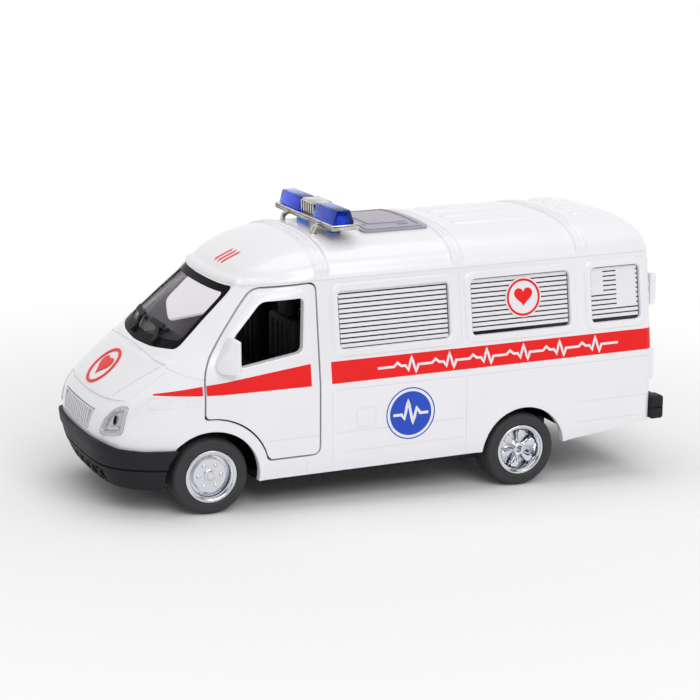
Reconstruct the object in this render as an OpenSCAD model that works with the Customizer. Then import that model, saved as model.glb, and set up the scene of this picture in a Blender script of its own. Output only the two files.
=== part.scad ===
// Toy ambulance: a die-cast high-roof van with opening doors, light bar and flywheel drive.
// Millimetres. +X points forward, +Y to the van's left, +Z up; the wheels stand on z = 0.

/* [Stance] */
// Distance between the two axles
wheelbase = 58; // [50:0.5:66]
// Rolling radius of every wheel
wheel_r = 6.63; // [5.5:0.01:8]
// Nose-down angle of the body over its wheels, degrees
rake = 2.08; // [0:0.01:4]
// Shift that brings the middle of the whole length to x = 0
mid_shift = 4.45; // [0:0.01:8]

/* [Body] */
// Half width of the lower body side
body_hw = 20; // [17:0.1:23]
// Height at which the side starts to lean in
belt_z = 21.84; // [18:0.01:26]
// Inward lean of the upper side, per millimetre of height
lean = 0.133; // [0.05:0.001:0.2]
// Height of the rain gutter
gutter_z = 39.5; // [36:0.1:43]
// Rise of the roof cap over the gutter
roof_rise = 6; // [4:0.1:8]
// Wall thickness of the casting
wall = 1.2; // [0.8:0.05:1.6]
// Flat tail position
tail_x = -56.1; // [-60:0.1:-52]
// Lower edge of the side sill
sill_z = 6.35; // [5:0.05:8]
// Radius of the wheel arches
arch_r = 8.1; // [7.4:0.05:9]

/* [Doors] */
// Gap round every door
door_gap = 0.3; // [0.2:0.02:0.5]
// Front door hinge, distance forward of mid wheelbase
hinge_x = 27; // [25:0.1:28]
// Front door hinge, distance in from the body side
hinge_in = 1.4; // [1.2:0.05:2]
// Radius of the hinge pins
pin_r = 0.4; // [0.3:0.01:0.6]
// Running clearance of a turning fit, on the radius
run_fit = 0.04; // [0.02:0.01:0.08]
// Rear door hinge, distance in from the body side
tail_hinge_in = 3.6; // [2.8:0.1:4.5]
// Rear door hinge, distance behind the tail
tail_hinge_out = 0.7; // [0.5:0.05:1]

/* [Wheels] */
// Radius of the hubs, where the tyres sit
rim_r = 4.54; // [4:0.01:5.5]
// Axle radius
axle_r = 0.9; // [0.7:0.05:1.2]
// Outer face of the front wheels, distance in from the body side
front_inset = 1.5; // [0.5:0.1:2.5]
// Outer face of the rear wheels, distance in from the body side
rear_inset = 1; // [0.4:0.1:2]
// Width of the front tyres
front_tyre_w = 5; // [4:0.1:6]
// Width of the rear tyres
rear_tyre_w = 6.4; // [5:0.1:7]

/* [Drive] */
// Tooth size of the gears, pitch diameter over tooth count
gear_m = 0.4; // [0.3:0.05:0.6]
// Teeth of the axle gear
axle_teeth = 18; // [14:1:24]
// Teeth of the two pinions
pinion_teeth = 12; // [10:1:16]
// Teeth of the idler's large gear
idler_teeth = 20; // [16:1:26]
// Free play of one tooth flank
backlash = 0.04; // [0.02:0.01:0.08]
// Radius of the flywheel
flywheel_r = 3.6; // [3:0.1:4.2]

/* [Light bar] */
// Underside of the lenses
lens_z = 47.5; // [46.5:0.1:49]
// Height of the lenses
lens_h = 2.45; // [1.8:0.05:3]
// Outer end of each lens
lens_end = 12.7; // [11:0.1:14]
// Half length of the centre block
centre_hw = 3.2; // [2:0.1:5]

/* [Hidden] */
$fn = 48;

gutter_hw = body_hw - lean * (gutter_z - belt_z);
hinge_y = body_hw - hinge_in;
tail_hinge_y = body_hw - tail_hinge_in;
front_face = body_hw - front_inset;
rear_face = body_hw - rear_inset;
axle_front = [wheelbase / 2 * cos(rake) - wheel_r * sin(rake), wheelbase / 2 * sin(rake) + wheel_r * cos(rake)];
axle_rear = [-wheelbase / 2 * cos(rake) - wheel_r * sin(rake), -wheelbase / 2 * sin(rake) + wheel_r * cos(rake)];

// Centre line of the nose from the bumper to the roof: height, forward reach.
nose_line = [[5.4, 44.6], [9, 46.3], [12, 47.1], [15.2, 47.4], [17.5, 47.1], [18.75, 46.6], [20, 45.6],
             [21.2, 44.4], [23.8, 41.3], [26.4, 38.1], [28.7, 35.2], [33.5, 29.55], [38.3, 23.9],
             [39.5, 22.8], [40.84, 21.4], [42.33, 18.9], [43.47, 16.4], [44.25, 14.1], [44.94, 11.3],
             [45.3, 9], [45.45, 7]];
// How far the tail is in front of its flat at each height.
tail_line = [[38.3, 0], [39.5, 0.3], [40.84, 0.6], [42.33, 1.2], [43.47, 1.9], [44.25, 2.6], [44.94, 3.5],
             [45.3, 4.4], [45.45, 5.5]];
front_v = [0, 0.16, 0.32, 0.45, 0.56, 0.65, 0.72, 0.78, 0.83, 0.88, 0.92, 0.955, 0.98, 0.995, 1];
side_f = [0.25, 0.5, 0.75];
rear_v = [1, 0.995, 0.98, 0.955, 0.92, 0.86, 0.5, 0];
rows = len(nose_line);
half_cols = len(front_v) + len(side_f) + len(rear_v);
cols = 2 * half_cols - 2;

function mix(a, b, t) = a + (b - a) * t;
function ease(t) = let (c = max(0, min(1, t))) c * c * (3 - 2 * c);
function half_w(z) =
    z <= belt_z ? body_hw - 0.5 * pow(max(0, (9 - z) / 3.6), 2) - 0.0012 * pow(min(0, z - 17.4), 2)
    : z <= gutter_z ? body_hw - lean * (z - belt_z)
    : gutter_hw * pow(1 - pow((z - gutter_z) / roof_rise, 2.6), 1 / 2.6);
function nose_drop(v, z) =
    let (k = ease((z - 16) / 12), s = z > gutter_z ? half_w(z) / gutter_hw : 1)
    s * (mix(1.6, 2.6, k) * v * v + mix(22, 9.5, k) * (1 - pow(1 - pow(v, 6), 0.714)));
function tail_drop(v, z) =
    (z > gutter_z ? half_w(z) / gutter_hw : 1) * (0.2 * v * v + 2.3 * (1 - sqrt(1 - pow(v, 14))));
function tail_at(z) = tail_x + (z < 38.3 ? 0 : lookup(z, tail_line));
function half_ring(z, f) =
    let (w = half_w(z), xa = f - nose_drop(1, z), xb = tail_at(z) + tail_drop(1, z))
    concat([for (v = front_v) [f - nose_drop(v, z), v * w, z]],
           [for (t = side_f) [mix(xa, xb, t), w + 0.05 * sin(180 * t), z]],
           [for (v = rear_v) [tail_at(z) + tail_drop(v, z), v * w, z]]);
function ring(z, f) =
    let (h = half_ring(z, f))
    concat(h, [for (i = [half_cols - 2:-1:1]) [h[i][0], -h[i][1], h[i][2]]]);
grid = [for (p = nose_line) ring(p[0], p[1])];
function unit(v) = v / norm(v);
function normal_at(i, j) =
    i == rows - 1 ? [0, 0, 1]
    : let (along = grid[i][(j + 1) % cols] - grid[i][(j + cols - 1) % cols],
           up = i == 0 ? [0, 0, 1] : grid[i + 1][j] - grid[i - 1][j])
      unit(cross(along, up));
normals = [for (i = [0:rows - 1]) [for (j = [0:cols - 1]) normal_at(i, j)]];

// The body's outer surface as a closed solid, moved inward by o.
module skin(o) {
    low = o > 0 ? [0, 0, -1] : [0, 0, 0];
    pts = [for (i = [0:rows - 1]) for (j = [0:cols - 1])
           grid[i][j] - o * normals[i][j] + (i == 0 ? low : [0, 0, 0])];
    quads = [for (i = [0:rows - 2]) for (j = [0:cols - 1])
             let (k = (j + 1) % cols, a = i * cols + j, b = i * cols + k, c = a + cols, d = b + cols)
             each [[a, c, b], [b, c, d]]];
    top = [for (j = [cols - 1:-1:0]) (rows - 1) * cols + j];
    bottom = [for (j = [0:cols - 1]) j];
    polyhedron(pts, concat(quads, [top, bottom]));
}
// The layer between two depths under the outer surface.
module layer(a, b) {
    difference() {
        skin(a);
        skin(b);
    }
}
// Everything is built level and then stood on its wheels.
module placed() {
    translate([mid_shift, 0, 0]) rotate([0, rake, 0]) children();
}
// Booleans of the curved shell are settled here.
module cast() {
    resize([0, 0, 0]) union() children();
}
module flip() {
    mirror([0, 1, 0]) children();
}
module both() {
    children();
    flip() children();
}
// A side-view outline carried through the width: child drawn in X and Z.
module across(y0, y1) {
    translate([0, y1, 0]) rotate([90, 0, 0]) linear_extrude(y1 - y0) children();
}
// A front-view outline carried along the length: child drawn in Y and Z.
module along(x0, x1) {
    translate([x0, 0, 0]) rotate([90, 0, 90]) linear_extrude(x1 - x0) children();
}
module box(a, b) {
    translate(a) cube(b - a);
}
module y_rod(x, z, r, y0, y1) {
    translate([x, y1, z]) rotate([90, 0, 0]) cylinder(r = r, h = y1 - y0);
}

// Outlines
module door_outline() {
    difference() {
        polygon([[9.7, 9.8], [9.5, 39.1], [19.7, 38.4], [22.6, 35.4], [26.2, 31.2], [28.6, 28], [29.5, 26],
                 [29.8, 24], [29.9, 17.9], [28, 15], [19, 9.8]]);
        translate([axle_front[0] + 0.26, axle_front[1]]) circle(r = arch_r + 2.1, $fn = 72);
    }
}
module door_window() {
    offset(0.5, $fn = 16) polygon([[12.3, 36.2], [13, 28.1], [23.2, 26.6], [24, 30.5], [18.7, 35.9]]);
}
module pane(x0, x1, z0, z1) {
    offset(0.8, $fn = 16) translate([x0 + 0.8, z0 + 0.8]) square([x1 - x0 - 1.6, z1 - z0 - 1.6]);
}
module side_panes() {
    pane(-15, 5.7, 27.4, 37.2);
    pane(-38.6, -19.2, 27.4, 37.2);
    pane(-52.9, -42.9, 27.4, 37.2);
}
module screen_outline() {
    offset(0.6, $fn = 16) polygon([[-11.4, 37.8], [0, 37.9], [11.4, 37.8], [12.9, 29.4], [7, 28.9], [0, 28.7], [-7, 28.9],
                         [-12.9, 29.4]]);
}
module grille_outline() {
    offset(0.3, $fn = 16) polygon([[-7.75, 18.4], [7.75, 18.4], [6.9, 15.8], [-6.9, 15.8]]);
}
module lamp_outline() {
    offset(0.4, $fn = 16) polygon([[-15.7, 20], [-16.4, 16], [-20.1, 15.6], [-19.6, 17.4], [-18, 19.2], [-16.6, 20]]);
}
module lamp_block() {
    rotate([0, 0, 40]) along(38, 60) lamp_outline();
}
module front_bumper_outline() {
    polygon([[30, 5.9], [30, 12.9], [40, 12.95], [43.5, 13.3], [46, 14.2], [52, 14.7], [52, 9], [47, 7.2], [43, 6.1],
             [38, 5.9]]);
}
module rear_bumper_solid() {
    box([tail_x - 1.7, 1.6 - body_hw, 8.6], [tail_x + 0.6, body_hw - 1.6, 12.5]);
    both() box([tail_x - 1.7, body_hw - 2.8, 8.5], [tail_x + 0.9, body_hw + 0.35, 12.8]);
}
module arch(c, r) {
    translate(c) circle(r = r);
}
module tail_opening() {
    box([tail_x - 1.9, 3.9 - body_hw, 13.1], [tail_x + 2.1, body_hw - 3.9, 37.7]);
}
module light_post(g) {
    box([0.65 - g, 6.1 - g, 42.6], [2.65 + g, 8 + g, lens_z]);
}
module bar_foot() {
    box([4.9, 6.35, 44.75], [6.2, 7.75, 45.55]);
}
module tail_bracket(z) {
    box([tail_x - 0.25, body_hw - 2.75, z - 2.85], [tail_x + 0.75, body_hw - 1.7, z + 2.85]);
}
tail_bracket_z = [18.5, 32.35];
rear_screw_y = body_hw - 5;
module screw_at() {
    for (p = [[37.5, 7.5], [-47, rear_screw_y]]) both() translate([p[0], p[1], 0]) children();
}

// The casting
module body_solid() {
    difference() {
        skin(0);
        difference() {
            skin(wall);
            for (y = [-7.5, 7.5]) translate([37.5, y, 6.9]) cylinder(r = 2, h = 24, $fn = 24);
            both() box([-49, rear_screw_y - 1.7, 10.9], [-45, body_hw, 15.5]);
        }
        across(-30, 30) polygon([[60, 0], [60, sill_z], [-37, sill_z], [-58, 9.05], [-58, 0]]);
        difference() {
            across(-30, 30) {
                front_bumper_outline();
                translate([36, 0]) square([20, 10]);
            }
            skin(wall + 0.2);
        }
        both() across(12, 30) arch([axle_front[0], axle_front[1]], arch_r, $fn = 64);
        both() across(11.5, 30) arch([axle_rear[0], axle_rear[1]], arch_r, $fn = 64);
        both() across(12, 30) offset(delta = door_gap / 2) door_outline();
        both() across(13, 30) side_panes();
        along(15, 60) screen_outline();
        along(42, 60) grille_outline();
        both() lamp_block();
        tail_opening();
        rear_bumper_solid();
        both() light_post(0);
        both() bar_foot();
        for (z = tail_bracket_z) both() tail_bracket(z);
        translate([0, 0, 6]) screw_at() cylinder(r = 0.8, h = 8, $fn = 24);
    }
}
module roof_relief() {
    intersection() {
        layer(-0.28, 0.4);
        difference() {
            union() {
                for (x = [8.3, -16.8, -41.1]) {
                    box([x - 1.35, -25, gutter_z + 0.6], [x + 1.25, 25, 50]);
                }
                for (y = [-7.8, -2.6, 2.6, 7.8]) {
                    box([-37.5, y - 1.3, 44], [-21, y + 1.3, 50]);
                    box([-52, y - 1.3, 44], [-44.5, y + 1.3, 50]);
                }
            }
            both() light_post(0.3);
            both() bar_foot();
        }
    }
}
module gutter_strip() {
    intersection() {
        layer(-0.3, 0.4);
        both() box([-55.4, 10, gutter_z - 0.15], [19, 25, gutter_z + 0.4]);
    }
}
module body_shell() {
    color("#F2F1F5") placed() cast() {
        body_solid();
        roof_relief();
        gutter_strip();
    }
}

// Front doors
module door_skin() {
    difference() {
        intersection() {
            layer(0, wall);
            across(10, 30) offset(delta = -door_gap / 2) door_outline();
        }
        across(10, 30) door_window();
        translate([hinge_x, hinge_y, 18]) cylinder(r = pin_r + 0.45, h = 4.5, $fn = 24);
        mirror_peg();
    }
}
module mirror_peg() {
    box([24.7, body_hw - 2.8, 27.2], [25.9, body_hw - 0.1, 28.4]);
}
module door_left() {
    color("#F2F1F5") placed() cast() door_skin();
}
module door_right() {
    color("#F2F1F5") placed() cast() flip() door_skin();
}
module hinge_arm() {
    difference() {
        union() {
            translate([hinge_x, hinge_y, 19.45]) cylinder(r = 0.75, h = 1.6);
            box([18.5, hinge_y - 0.7, 19.45], [24.4, body_hw - wall, 21.05]);
            box([24.3, hinge_y - 0.7, 19.45], [hinge_x, hinge_y - 0.1, 21.05]);
        }
        translate([hinge_x, hinge_y, 19]) cylinder(r = pin_r + run_fit, h = 3);
    }
}
module door_hinge_left() {
    color("#2B2B2E") placed() hinge_arm();
}
module door_hinge_right() {
    color("#2B2B2E") placed() flip() hinge_arm();
}
module door_pins() {
    color("#B8BCC2") placed() both() translate([hinge_x, hinge_y, 18.3]) cylinder(r = pin_r, h = 3.9);
}
// A wedge pod that grows out of the door skin towards its rear face.
module mirror_body() {
    difference() {
        intersection() {
            across(body_hw - 4, body_hw + 5) polygon([[24.1, 25.9], [24.5, 25.5], [27.2, 25.6], [27.9, 26.3], [27.7, 27.4], [26, 30.1],
                                    [25.1, 31.1], [24.3, 31.1], [24.1, 30.9]]);
            linear_extrude(60) translate([0, body_hw]) polygon([[28.4, -4], [28.4, -1.1], [27.6, -0.1], [26.2, 0.9],
                                                                [24.7, 1.6], [24.1, 1.4], [24.1, -4]]);
        }
        skin(0);
    }
    mirror_peg();
}
module mirror_left() {
    color("#F2F1F5") placed() cast() mirror_body();
}
module mirror_right() {
    color("#F2F1F5") placed() cast() flip() mirror_body();
}

// Glazing and front trim
module windscreen() {
    color("#5C5C66") placed() cast() intersection() {
        layer(0.15, wall - 0.1);
        along(15, 60) screen_outline();
    }
}
module wiper_outline(y) {
    translate([y, 29.6]) rotate(-16) square([0.5, 3.4], center = true);
    translate([y - 1.6, 31]) rotate(74) square([0.55, 6.4], center = true);
}
module wipers() {
    color("#1B1B1D") placed() cast() intersection() {
        layer(-0.35, 0.15);
        along(15, 60) intersection() {
            offset(delta = -0.15) screen_outline();
            union() {
                wiper_outline(7);
                wiper_outline(-3.5);
            }
        }
    }
}
module glazing_strip() {
    intersection() {
        layer(0.45, wall + 0.3);
        across(10, 30) side_panes();
    }
    intersection() {
        layer(wall, wall + 0.6);
        box([-54, 10, 26.6], [7.4, 25, 38]);
    }
}
module side_glazing_left() {
    color("#E9E9EF") placed() cast() glazing_strip();
}
module side_glazing_right() {
    color("#E9E9EF") placed() cast() flip() glazing_strip();
}
module grille() {
    color("#C4C6CA") placed() cast() {
        intersection() {
            layer(0.35, wall);
            along(42, 60) grille_outline();
        }
        intersection() {
            layer(-0.05, 0.4);
            along(42, 60) intersection() {
                grille_outline();
                for (y = [-6.5:1:6.5]) translate([y - 0.28, 15]) square([0.56, 4.2]);
            }
        }
    }
}
module headlamp_lenses() {
    color("#DADCE2") placed() cast() both() intersection() {
        layer(-0.3, 0.5);
        lamp_block();
    }
}
module headlamp_reflectors() {
    color("#9FA2A8") placed() cast() both() intersection() {
        layer(0.5, wall + 0.4);
        lamp_block();
    }
}
module front_bumper() {
    color("#3A3A3C") placed() cast() difference() {
        intersection() {
            layer(-0.75, wall);
            across(-30, 30) front_bumper_outline();
        }
        both() across(10, 30) arch([axle_front[0], axle_front[1]], arch_r - 0.3, $fn = 64);
        intersection() {
            layer(-2, 0.1);
            across(-30, 30) polygon([[36, 9.3], [36, 9.9], [52, 11.2], [52, 10.6]]);
        }
    }
}
module rear_bumper() {
    color("#3A3A3C") placed() rear_bumper_solid();
}

// Rear doors
module rear_leaf() {
    difference() {
        union() {
            along(tail_x, tail_x + wall) translate([door_gap / 2, 13.3]) square([body_hw - 4.1 - door_gap / 2, 24.2]);
            for (z = tail_bracket_z) {
                translate([tail_x - tail_hinge_out, tail_hinge_y, z - 1]) cylinder(r = 0.75, h = 2);
                box([tail_x - tail_hinge_out - 0.2, tail_hinge_y - 2.2, z - 1], [tail_x, tail_hinge_y, z + 1]);
            }
        }
        along(tail_x - 3, tail_x + 3) rear_pane();
        translate([tail_x - tail_hinge_out, tail_hinge_y, 12]) cylinder(r = pin_r + run_fit, h = 30);
    }
}
module rear_pane() {
    translate([2.6, 26]) square([body_hw - 9.4, 10]);
}
module rear_door_left() {
    color("#F2F1F5") placed() rear_leaf();
}
module rear_door_right() {
    color("#F2F1F5") placed() flip() rear_leaf();
}
module rear_glass() {
    along(tail_x + 0.3, tail_x + 0.9) rear_pane();
}
module rear_window_left() {
    color("#5C5C66") placed() rear_glass();
}
module rear_window_right() {
    color("#5C5C66") placed() flip() rear_glass();
}
module rear_hinge_brackets() {
    color("#F2F1F5") placed() both() for (z = tail_bracket_z) {
        tail_bracket(z);
        for (d = [-2.2, 1.1]) {
            translate([tail_x - tail_hinge_out, tail_hinge_y, z + d]) cylinder(r = 0.75, h = 1.1);
            box([tail_x - tail_hinge_out - 0.2, tail_hinge_y, z + d], [tail_x, body_hw - 2.6, z + d + 1.1]);
        }
        translate([tail_x - tail_hinge_out, tail_hinge_y, z - 2.2]) cylinder(r = pin_r, h = 4.4);
    }
}

// Base, interior and fasteners
front_bearing_y = front_face - front_tyre_w - 1.5;
rear_bearing_y = rear_face - rear_tyre_w - 1.2;
step_x = axle_rear[0] - 7.58;
module base_half() {
    polygon([[40, 0], [40, 10], [37.5, front_bearing_y], [axle_front[0] - 8.54, front_bearing_y],
             [axle_front[0] - 9.24, body_hw - 1.7], [axle_rear[0] + 10.02, body_hw - 1.7],
             [axle_rear[0] + 9.22, rear_bearing_y], [step_x - 1.2, rear_bearing_y], [step_x - 1.2, 0]]);
}
module bearing(c, y) {
    both() box([c[0] - 2, y - 2.6, c[1] - 2.2], [c[0] + 2, y, c[1] + 2.2]);
}
module base_plate() {
    color("#2B2B2E") placed() difference() {
        union() {
            translate([0, 0, 5.4]) linear_extrude(1.5) union() {
                base_half();
                mirror([0, 1]) base_half();
            }
            box([tail_x + 1.9, 2.4 - body_hw, 9.1], [step_x - 0.2, body_hw - 2.4, 10.9]);
            box([step_x - 1.2, -rear_bearing_y, 5.4], [step_x, rear_bearing_y, 10.9]);
            bearing(axle_front, front_bearing_y);
            bearing(axle_rear, rear_bearing_y);
            for (x = [12, -7]) both() translate([x, 9, 6]) cylinder(r = 1.8, h = 9.9);
            both() translate([-44, 9, 10]) cylinder(r = 1.8, h = 5.9);
            rotate([0, -rake, 0]) box([-10, -9, 4.2], [14, 9, 6.3]);
        }
        y_rod(axle_front[0], axle_front[1], axle_r + run_fit, -20, 20);
        y_rod(axle_rear[0], axle_rear[1], axle_r + run_fit, -20, 20);
        box([axle_rear[0] - 5.18, -5.3, 0], [axle_rear[0] + 14.92, 5.3, 9]);
        screw_at() cylinder(r = 0.9, h = 14);
        screw_at() translate([0, 0, -1]) screw_head_room();
    }
}
module screw_head_room() {
    cylinder(r = 1.7, h = 7.2);
}
module base_screws() {
    color("#B8BCC2") placed() {
        both() translate([37.5, 7.5, 0]) screw(6.2, 12.6);
        both() translate([-47, rear_screw_y, 0]) screw(9.1, 13.4);
    }
}
module screw(z, top) {
    difference() {
        union() {
            translate([0, 0, z - 0.7]) cylinder(r = 1.45, h = 0.7);
            translate([0, 0, z - 0.1]) cylinder(r = 0.78, h = top - z);
        }
        for (a = [0, 90]) rotate(a) box([-0.9, -0.2, z - 0.8], [0.9, 0.2, z - 0.35]);
    }
}
dash_hw = body_hw - 7.8;
module dash() {
    box([28, -dash_hw, 16.9], [32, dash_hw, 26.2]);
    box([25.5, -dash_hw, 22.5], [28, dash_hw, 26.2]);
}
module interior_tub() {
    color("#232326") placed() difference() {
        union() {
            box([tail_x + 2.1, 2.2 - body_hw, 15.9], [24, body_hw - 2.2, 16.9]);
            box([24, 6.5 - body_hw, 15.9], [32, body_hw - 6.5, 16.9]);
            box([6.4, 4 - body_hw, 16.9], [7.4, body_hw - 4, 31]);
            dash();
            both() {
                box([22.3, dash_hw - 1.6, 16.9], [28, dash_hw, 22.6]);
                for (z = [18.3, 21.2]) {
                    translate([hinge_x, hinge_y, z]) cylinder(r = 0.7, h = 1);
                    translate([hinge_x, hinge_y, z]) rotate(-120) box([0, -0.65, 0], [8, 0.65, 1]);
                }
            }
        }
        both() translate([hinge_x, hinge_y, 18]) cylinder(r = pin_r, h = 5);
    }
}
module seat() {
    box([12, 3, 16.9], [20.5, 14, 20.4]);
    box([9.6, 3, 16.9], [12.6, 14, 32]);
    box([9.9, 6, 32], [12, 11, 35]);
}
module seats() {
    color("#1D1D20") placed() both() seat();
}
module steering_wheel() {
    color("#1B1B1D") placed() difference() {
        translate([25.5, 8.5, 25]) rotate([0, -55, 0]) {
            translate([0, 0, 2.4]) rotate_extrude() translate([2.9, 0]) circle(r = 0.35, $fn = 24);
            translate([0, 0, 2.4]) rotate(45) box([-2.7, -0.35, -0.2], [2.7, 0.35, 0.2]);
            translate([0, 0, 2.4]) rotate(-45) box([-2.7, -0.35, -0.2], [2.7, 0.35, 0.2]);
            translate([0, 0, -0.8]) cylinder(r = 0.6, h = 3.6);
        }
        dash();
    }
}

// Wheels
module axle(c, face) {
    y_rod(c[0], c[1], axle_r, -face + 1.6, face - 1.6);
}
module front_axle() {
    color("#B8BCC2") placed() axle(axle_front, front_face);
}
module rear_axle() {
    color("#B8BCC2") placed() axle(axle_rear, rear_face);
}
// Turned profiles, drawn with the outer face at zero and the inside to negative.
module wheel_at(c, face) {
    both() translate([c[0], face, c[1]]) rotate([-90, 0, 0]) children();
}
module front_hub_profile() {
    polygon([[axle_r, -4.6], [axle_r, -1.6], [0.001, -1.6], [0.001, -0.75], [1, -0.75], [1, -1], [2.9, -1],
             [3.1, -1.5], [3.5, -1.5], [3.8, -0.35], [4.1, -0.1], [rim_r, -0.1], [rim_r, -4.7], [4, -4.7],
             [3.6, -2.2], [1.6, -2.2], [1.6, -4.6]]);
}
module front_hubs() {
    color("#C9CBD0") placed() wheel_at(axle_front, front_face) {
        rotate_extrude() front_hub_profile();
        for (a = [0:60:300]) rotate(a + 15) translate([2.15, 0, -1.2]) cylinder(r = 0.3, h = 0.45);
    }
}
module rear_hub_profile() {
    polygon([[axle_r, -6], [axle_r, -1.6], [0.001, -1.6], [0.001, -1.2], [1.15, -1.2], [1.3, -2.4], [3.3, -2.4],
             [3.75, -0.4], [4.1, -0.1], [rim_r, -0.1], [rim_r, -6.1], [4, -6.1], [3.6, -3.2], [1.7, -3.2], [1.7, -6]]);
}
module rear_hubs() {
    color("#C9CBD0") placed() wheel_at(axle_rear, rear_face) {
        rotate_extrude() rear_hub_profile();
        for (a = [0:60:300]) rotate(a) box([1.2, -0.45, -2.5], [3.2, 0.45, -1.6]);
    }
}
module tyre_profile(w) {
    h = wheel_r - rim_r;
    polygon([[rim_r, -0.15], [rim_r + 0.32 * h, 0], [rim_r + 0.75 * h, -0.1], [rim_r + 0.94 * h, -0.5], [wheel_r, -1],
             [wheel_r, -w + 1], [rim_r + 0.94 * h, -w + 0.5], [rim_r + 0.75 * h, -w + 0.1], [rim_r + 0.32 * h, -w],
             [rim_r, -w + 0.15]]);
}
module front_tyres() {
    color("#2C2C2F") placed() wheel_at(axle_front, front_face) rotate_extrude() tyre_profile(front_tyre_w);
}
module rear_tyres() {
    color("#2C2C2F") placed() wheel_at(axle_rear, rear_face) rotate_extrude() tyre_profile(rear_tyre_w);
}

// Flywheel drive
// Height of the line that the idler and the flywheel turn on
drive_z = 10.07;
stage_one = gear_m * (axle_teeth + pinion_teeth) / 2 + 0.05;
stage_two = gear_m * (idler_teeth + pinion_teeth) / 2 + 0.05;
idler_angle = asin((drive_z - axle_rear[1]) / stage_one);
idler_c = axle_rear + stage_one * [cos(idler_angle), sin(idler_angle)];
flywheel_c = idler_c + [stage_two, 0];
function involute(rb, r) = tan(acos(rb / r)) * 180 / PI - acos(rb / r);
function flank(n, t) =
    let (rp = n * gear_m / 2, rb = rp * cos(20), lo = max(rb + 0.001, rp - 0.9 * gear_m), hi = rp + 0.8 * gear_m,
         r = mix(lo, hi, t))
    [r, 90 / n - backlash / rp * 180 / PI + involute(rb, rp) - involute(rb, r)];
module gear_shape(n) {
    rf = n * gear_m / 2 - 1.1 * gear_m;
    polygon([for (i = [0:n - 1]) let (c = 360 * i / n)
             each concat([let (f = flank(n, 0)) rf * [cos(c - f[1]), sin(c - f[1])]],
                         [for (t = [0, 0.35, 0.7, 1]) let (f = flank(n, t)) f[0] * [cos(c - f[1]), sin(c - f[1])]],
                         [for (t = [1, 0.7, 0.35, 0]) let (f = flank(n, t)) f[0] * [cos(c + f[1]), sin(c + f[1])]],
                         [let (f = flank(n, 0)) rf * [cos(c + f[1]), sin(c + f[1])]])]);
}
module gear(c, n, turn, y0, y1) {
    translate([c[0], y1, c[1]]) rotate([90, 0, 0]) rotate(turn) linear_extrude(y1 - y0) gear_shape(n);
}
module axle_gear() {
    color("#D9D4C4") placed() difference() {
        union() {
            gear(axle_rear, axle_teeth, idler_angle, -4.6, -2.6);
            y_rod(axle_rear[0], axle_rear[1], 1.4, -2.6, 4.4);
        }
        y_rod(axle_rear[0], axle_rear[1], axle_r, -10, 10);
    }
}
module idler_gear() {
    color("#D9D4C4") placed() {
        gear(idler_c, pinion_teeth, idler_angle + 180 + 180 / pinion_teeth, -4.6, -1.7);
        gear(idler_c, idler_teeth, 0, -1.8, 0.2);
        y_rod(idler_c[0], idler_c[1], 0.7, -6.4, 6.4);
    }
}
module flywheel() {
    color("#8F9399") placed() {
        gear(flywheel_c, pinion_teeth, 180 + 180 / pinion_teeth, -1.8, 1);
        y_rod(flywheel_c[0], flywheel_c[1], flywheel_r, 0.9, 4.2);
        y_rod(flywheel_c[0], flywheel_c[1], 0.7, -6.4, 6.4);
    }
}
drive_x = axle_rear[0];
module drive_case() {
    color("#4A4C50") placed() difference() {
        box([drive_x - 6.18, -6.6, 6.9], [drive_x + 15.72, 6.6, 15.7]);
        box([drive_x - 5.18, -5.4, 6], [drive_x + 14.72, 5.4, 14.9]);
        box([drive_x - axle_r - 0.3, -10, 0], [drive_x + axle_r + 0.3, 10, axle_rear[1] + axle_r + 0.3]);
        y_rod(idler_c[0], idler_c[1], 0.7 + run_fit, -10, 10);
        y_rod(flywheel_c[0], flywheel_c[1], 0.7 + run_fit, -10, 10);
    }
}
module drive_cover() {
    color("#4A4C50") placed() difference() {
        union() {
            box([drive_x - 6.78, -6.3, 4.7], [drive_x + 16.42, 6.3, 5.4]);
            box([drive_x - 5.18, -5.3, axle_rear[1] - 4.87], [drive_x + 5.22, 5.3, 5]);
        }
        box([drive_x - 4.48, -4.9, axle_rear[1] - 4.37], [drive_x + 4.52, 4.9, 6]);
        y_rod(axle_rear[0], axle_rear[1], 2.1, -10, 10);
    }
}

// Roof equipment
module lightbar_base() {
    color("#D4D6DA") placed() difference() {
        union() {
            box([-0.5, -13.4, 46.5], [4.6, 13.4, lens_z]);
            both() {
                box([4.4, 6.5, 46.2], [5.9, 7.6, 46.9]);
                box([5, 6.5, 44.9], [5.9, 7.6, 46.9]);
                bar_foot();
            }
        }
        both() light_post(0);
    }
}
module lightbar_centre() {
    color("#D4D6DA") placed() {
        box([0.2, -centre_hw, lens_z], [3.4, centre_hw, lens_z + lens_h]);
        for (y = [-2.8:0.8:2.8]) box([3.3, y - 0.2, lens_z], [3.8, y + 0.2, lens_z + lens_h - 0.2]);
    }
}
module lens() {
    across(centre_hw, lens_end) {
        polygon([[0.1, lens_z], [4.1, lens_z], [3.4, lens_z + lens_h], [0.9, lens_z + lens_h]]);
    }
    light_post(0);
}
module lens_left() {
    color("#1F3FD0", 0.85) placed() lens();
}
module lens_right() {
    color("#1F3FD0", 0.85) placed() flip() lens();
}
module roof_hatch() {
    color("#B5AFBB") placed() cast() intersection() {
        layer(-0.5, 0);
        box([-15.3, -9.6, 43], [-2.9, 9.6, 50]);
    }
}

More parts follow.
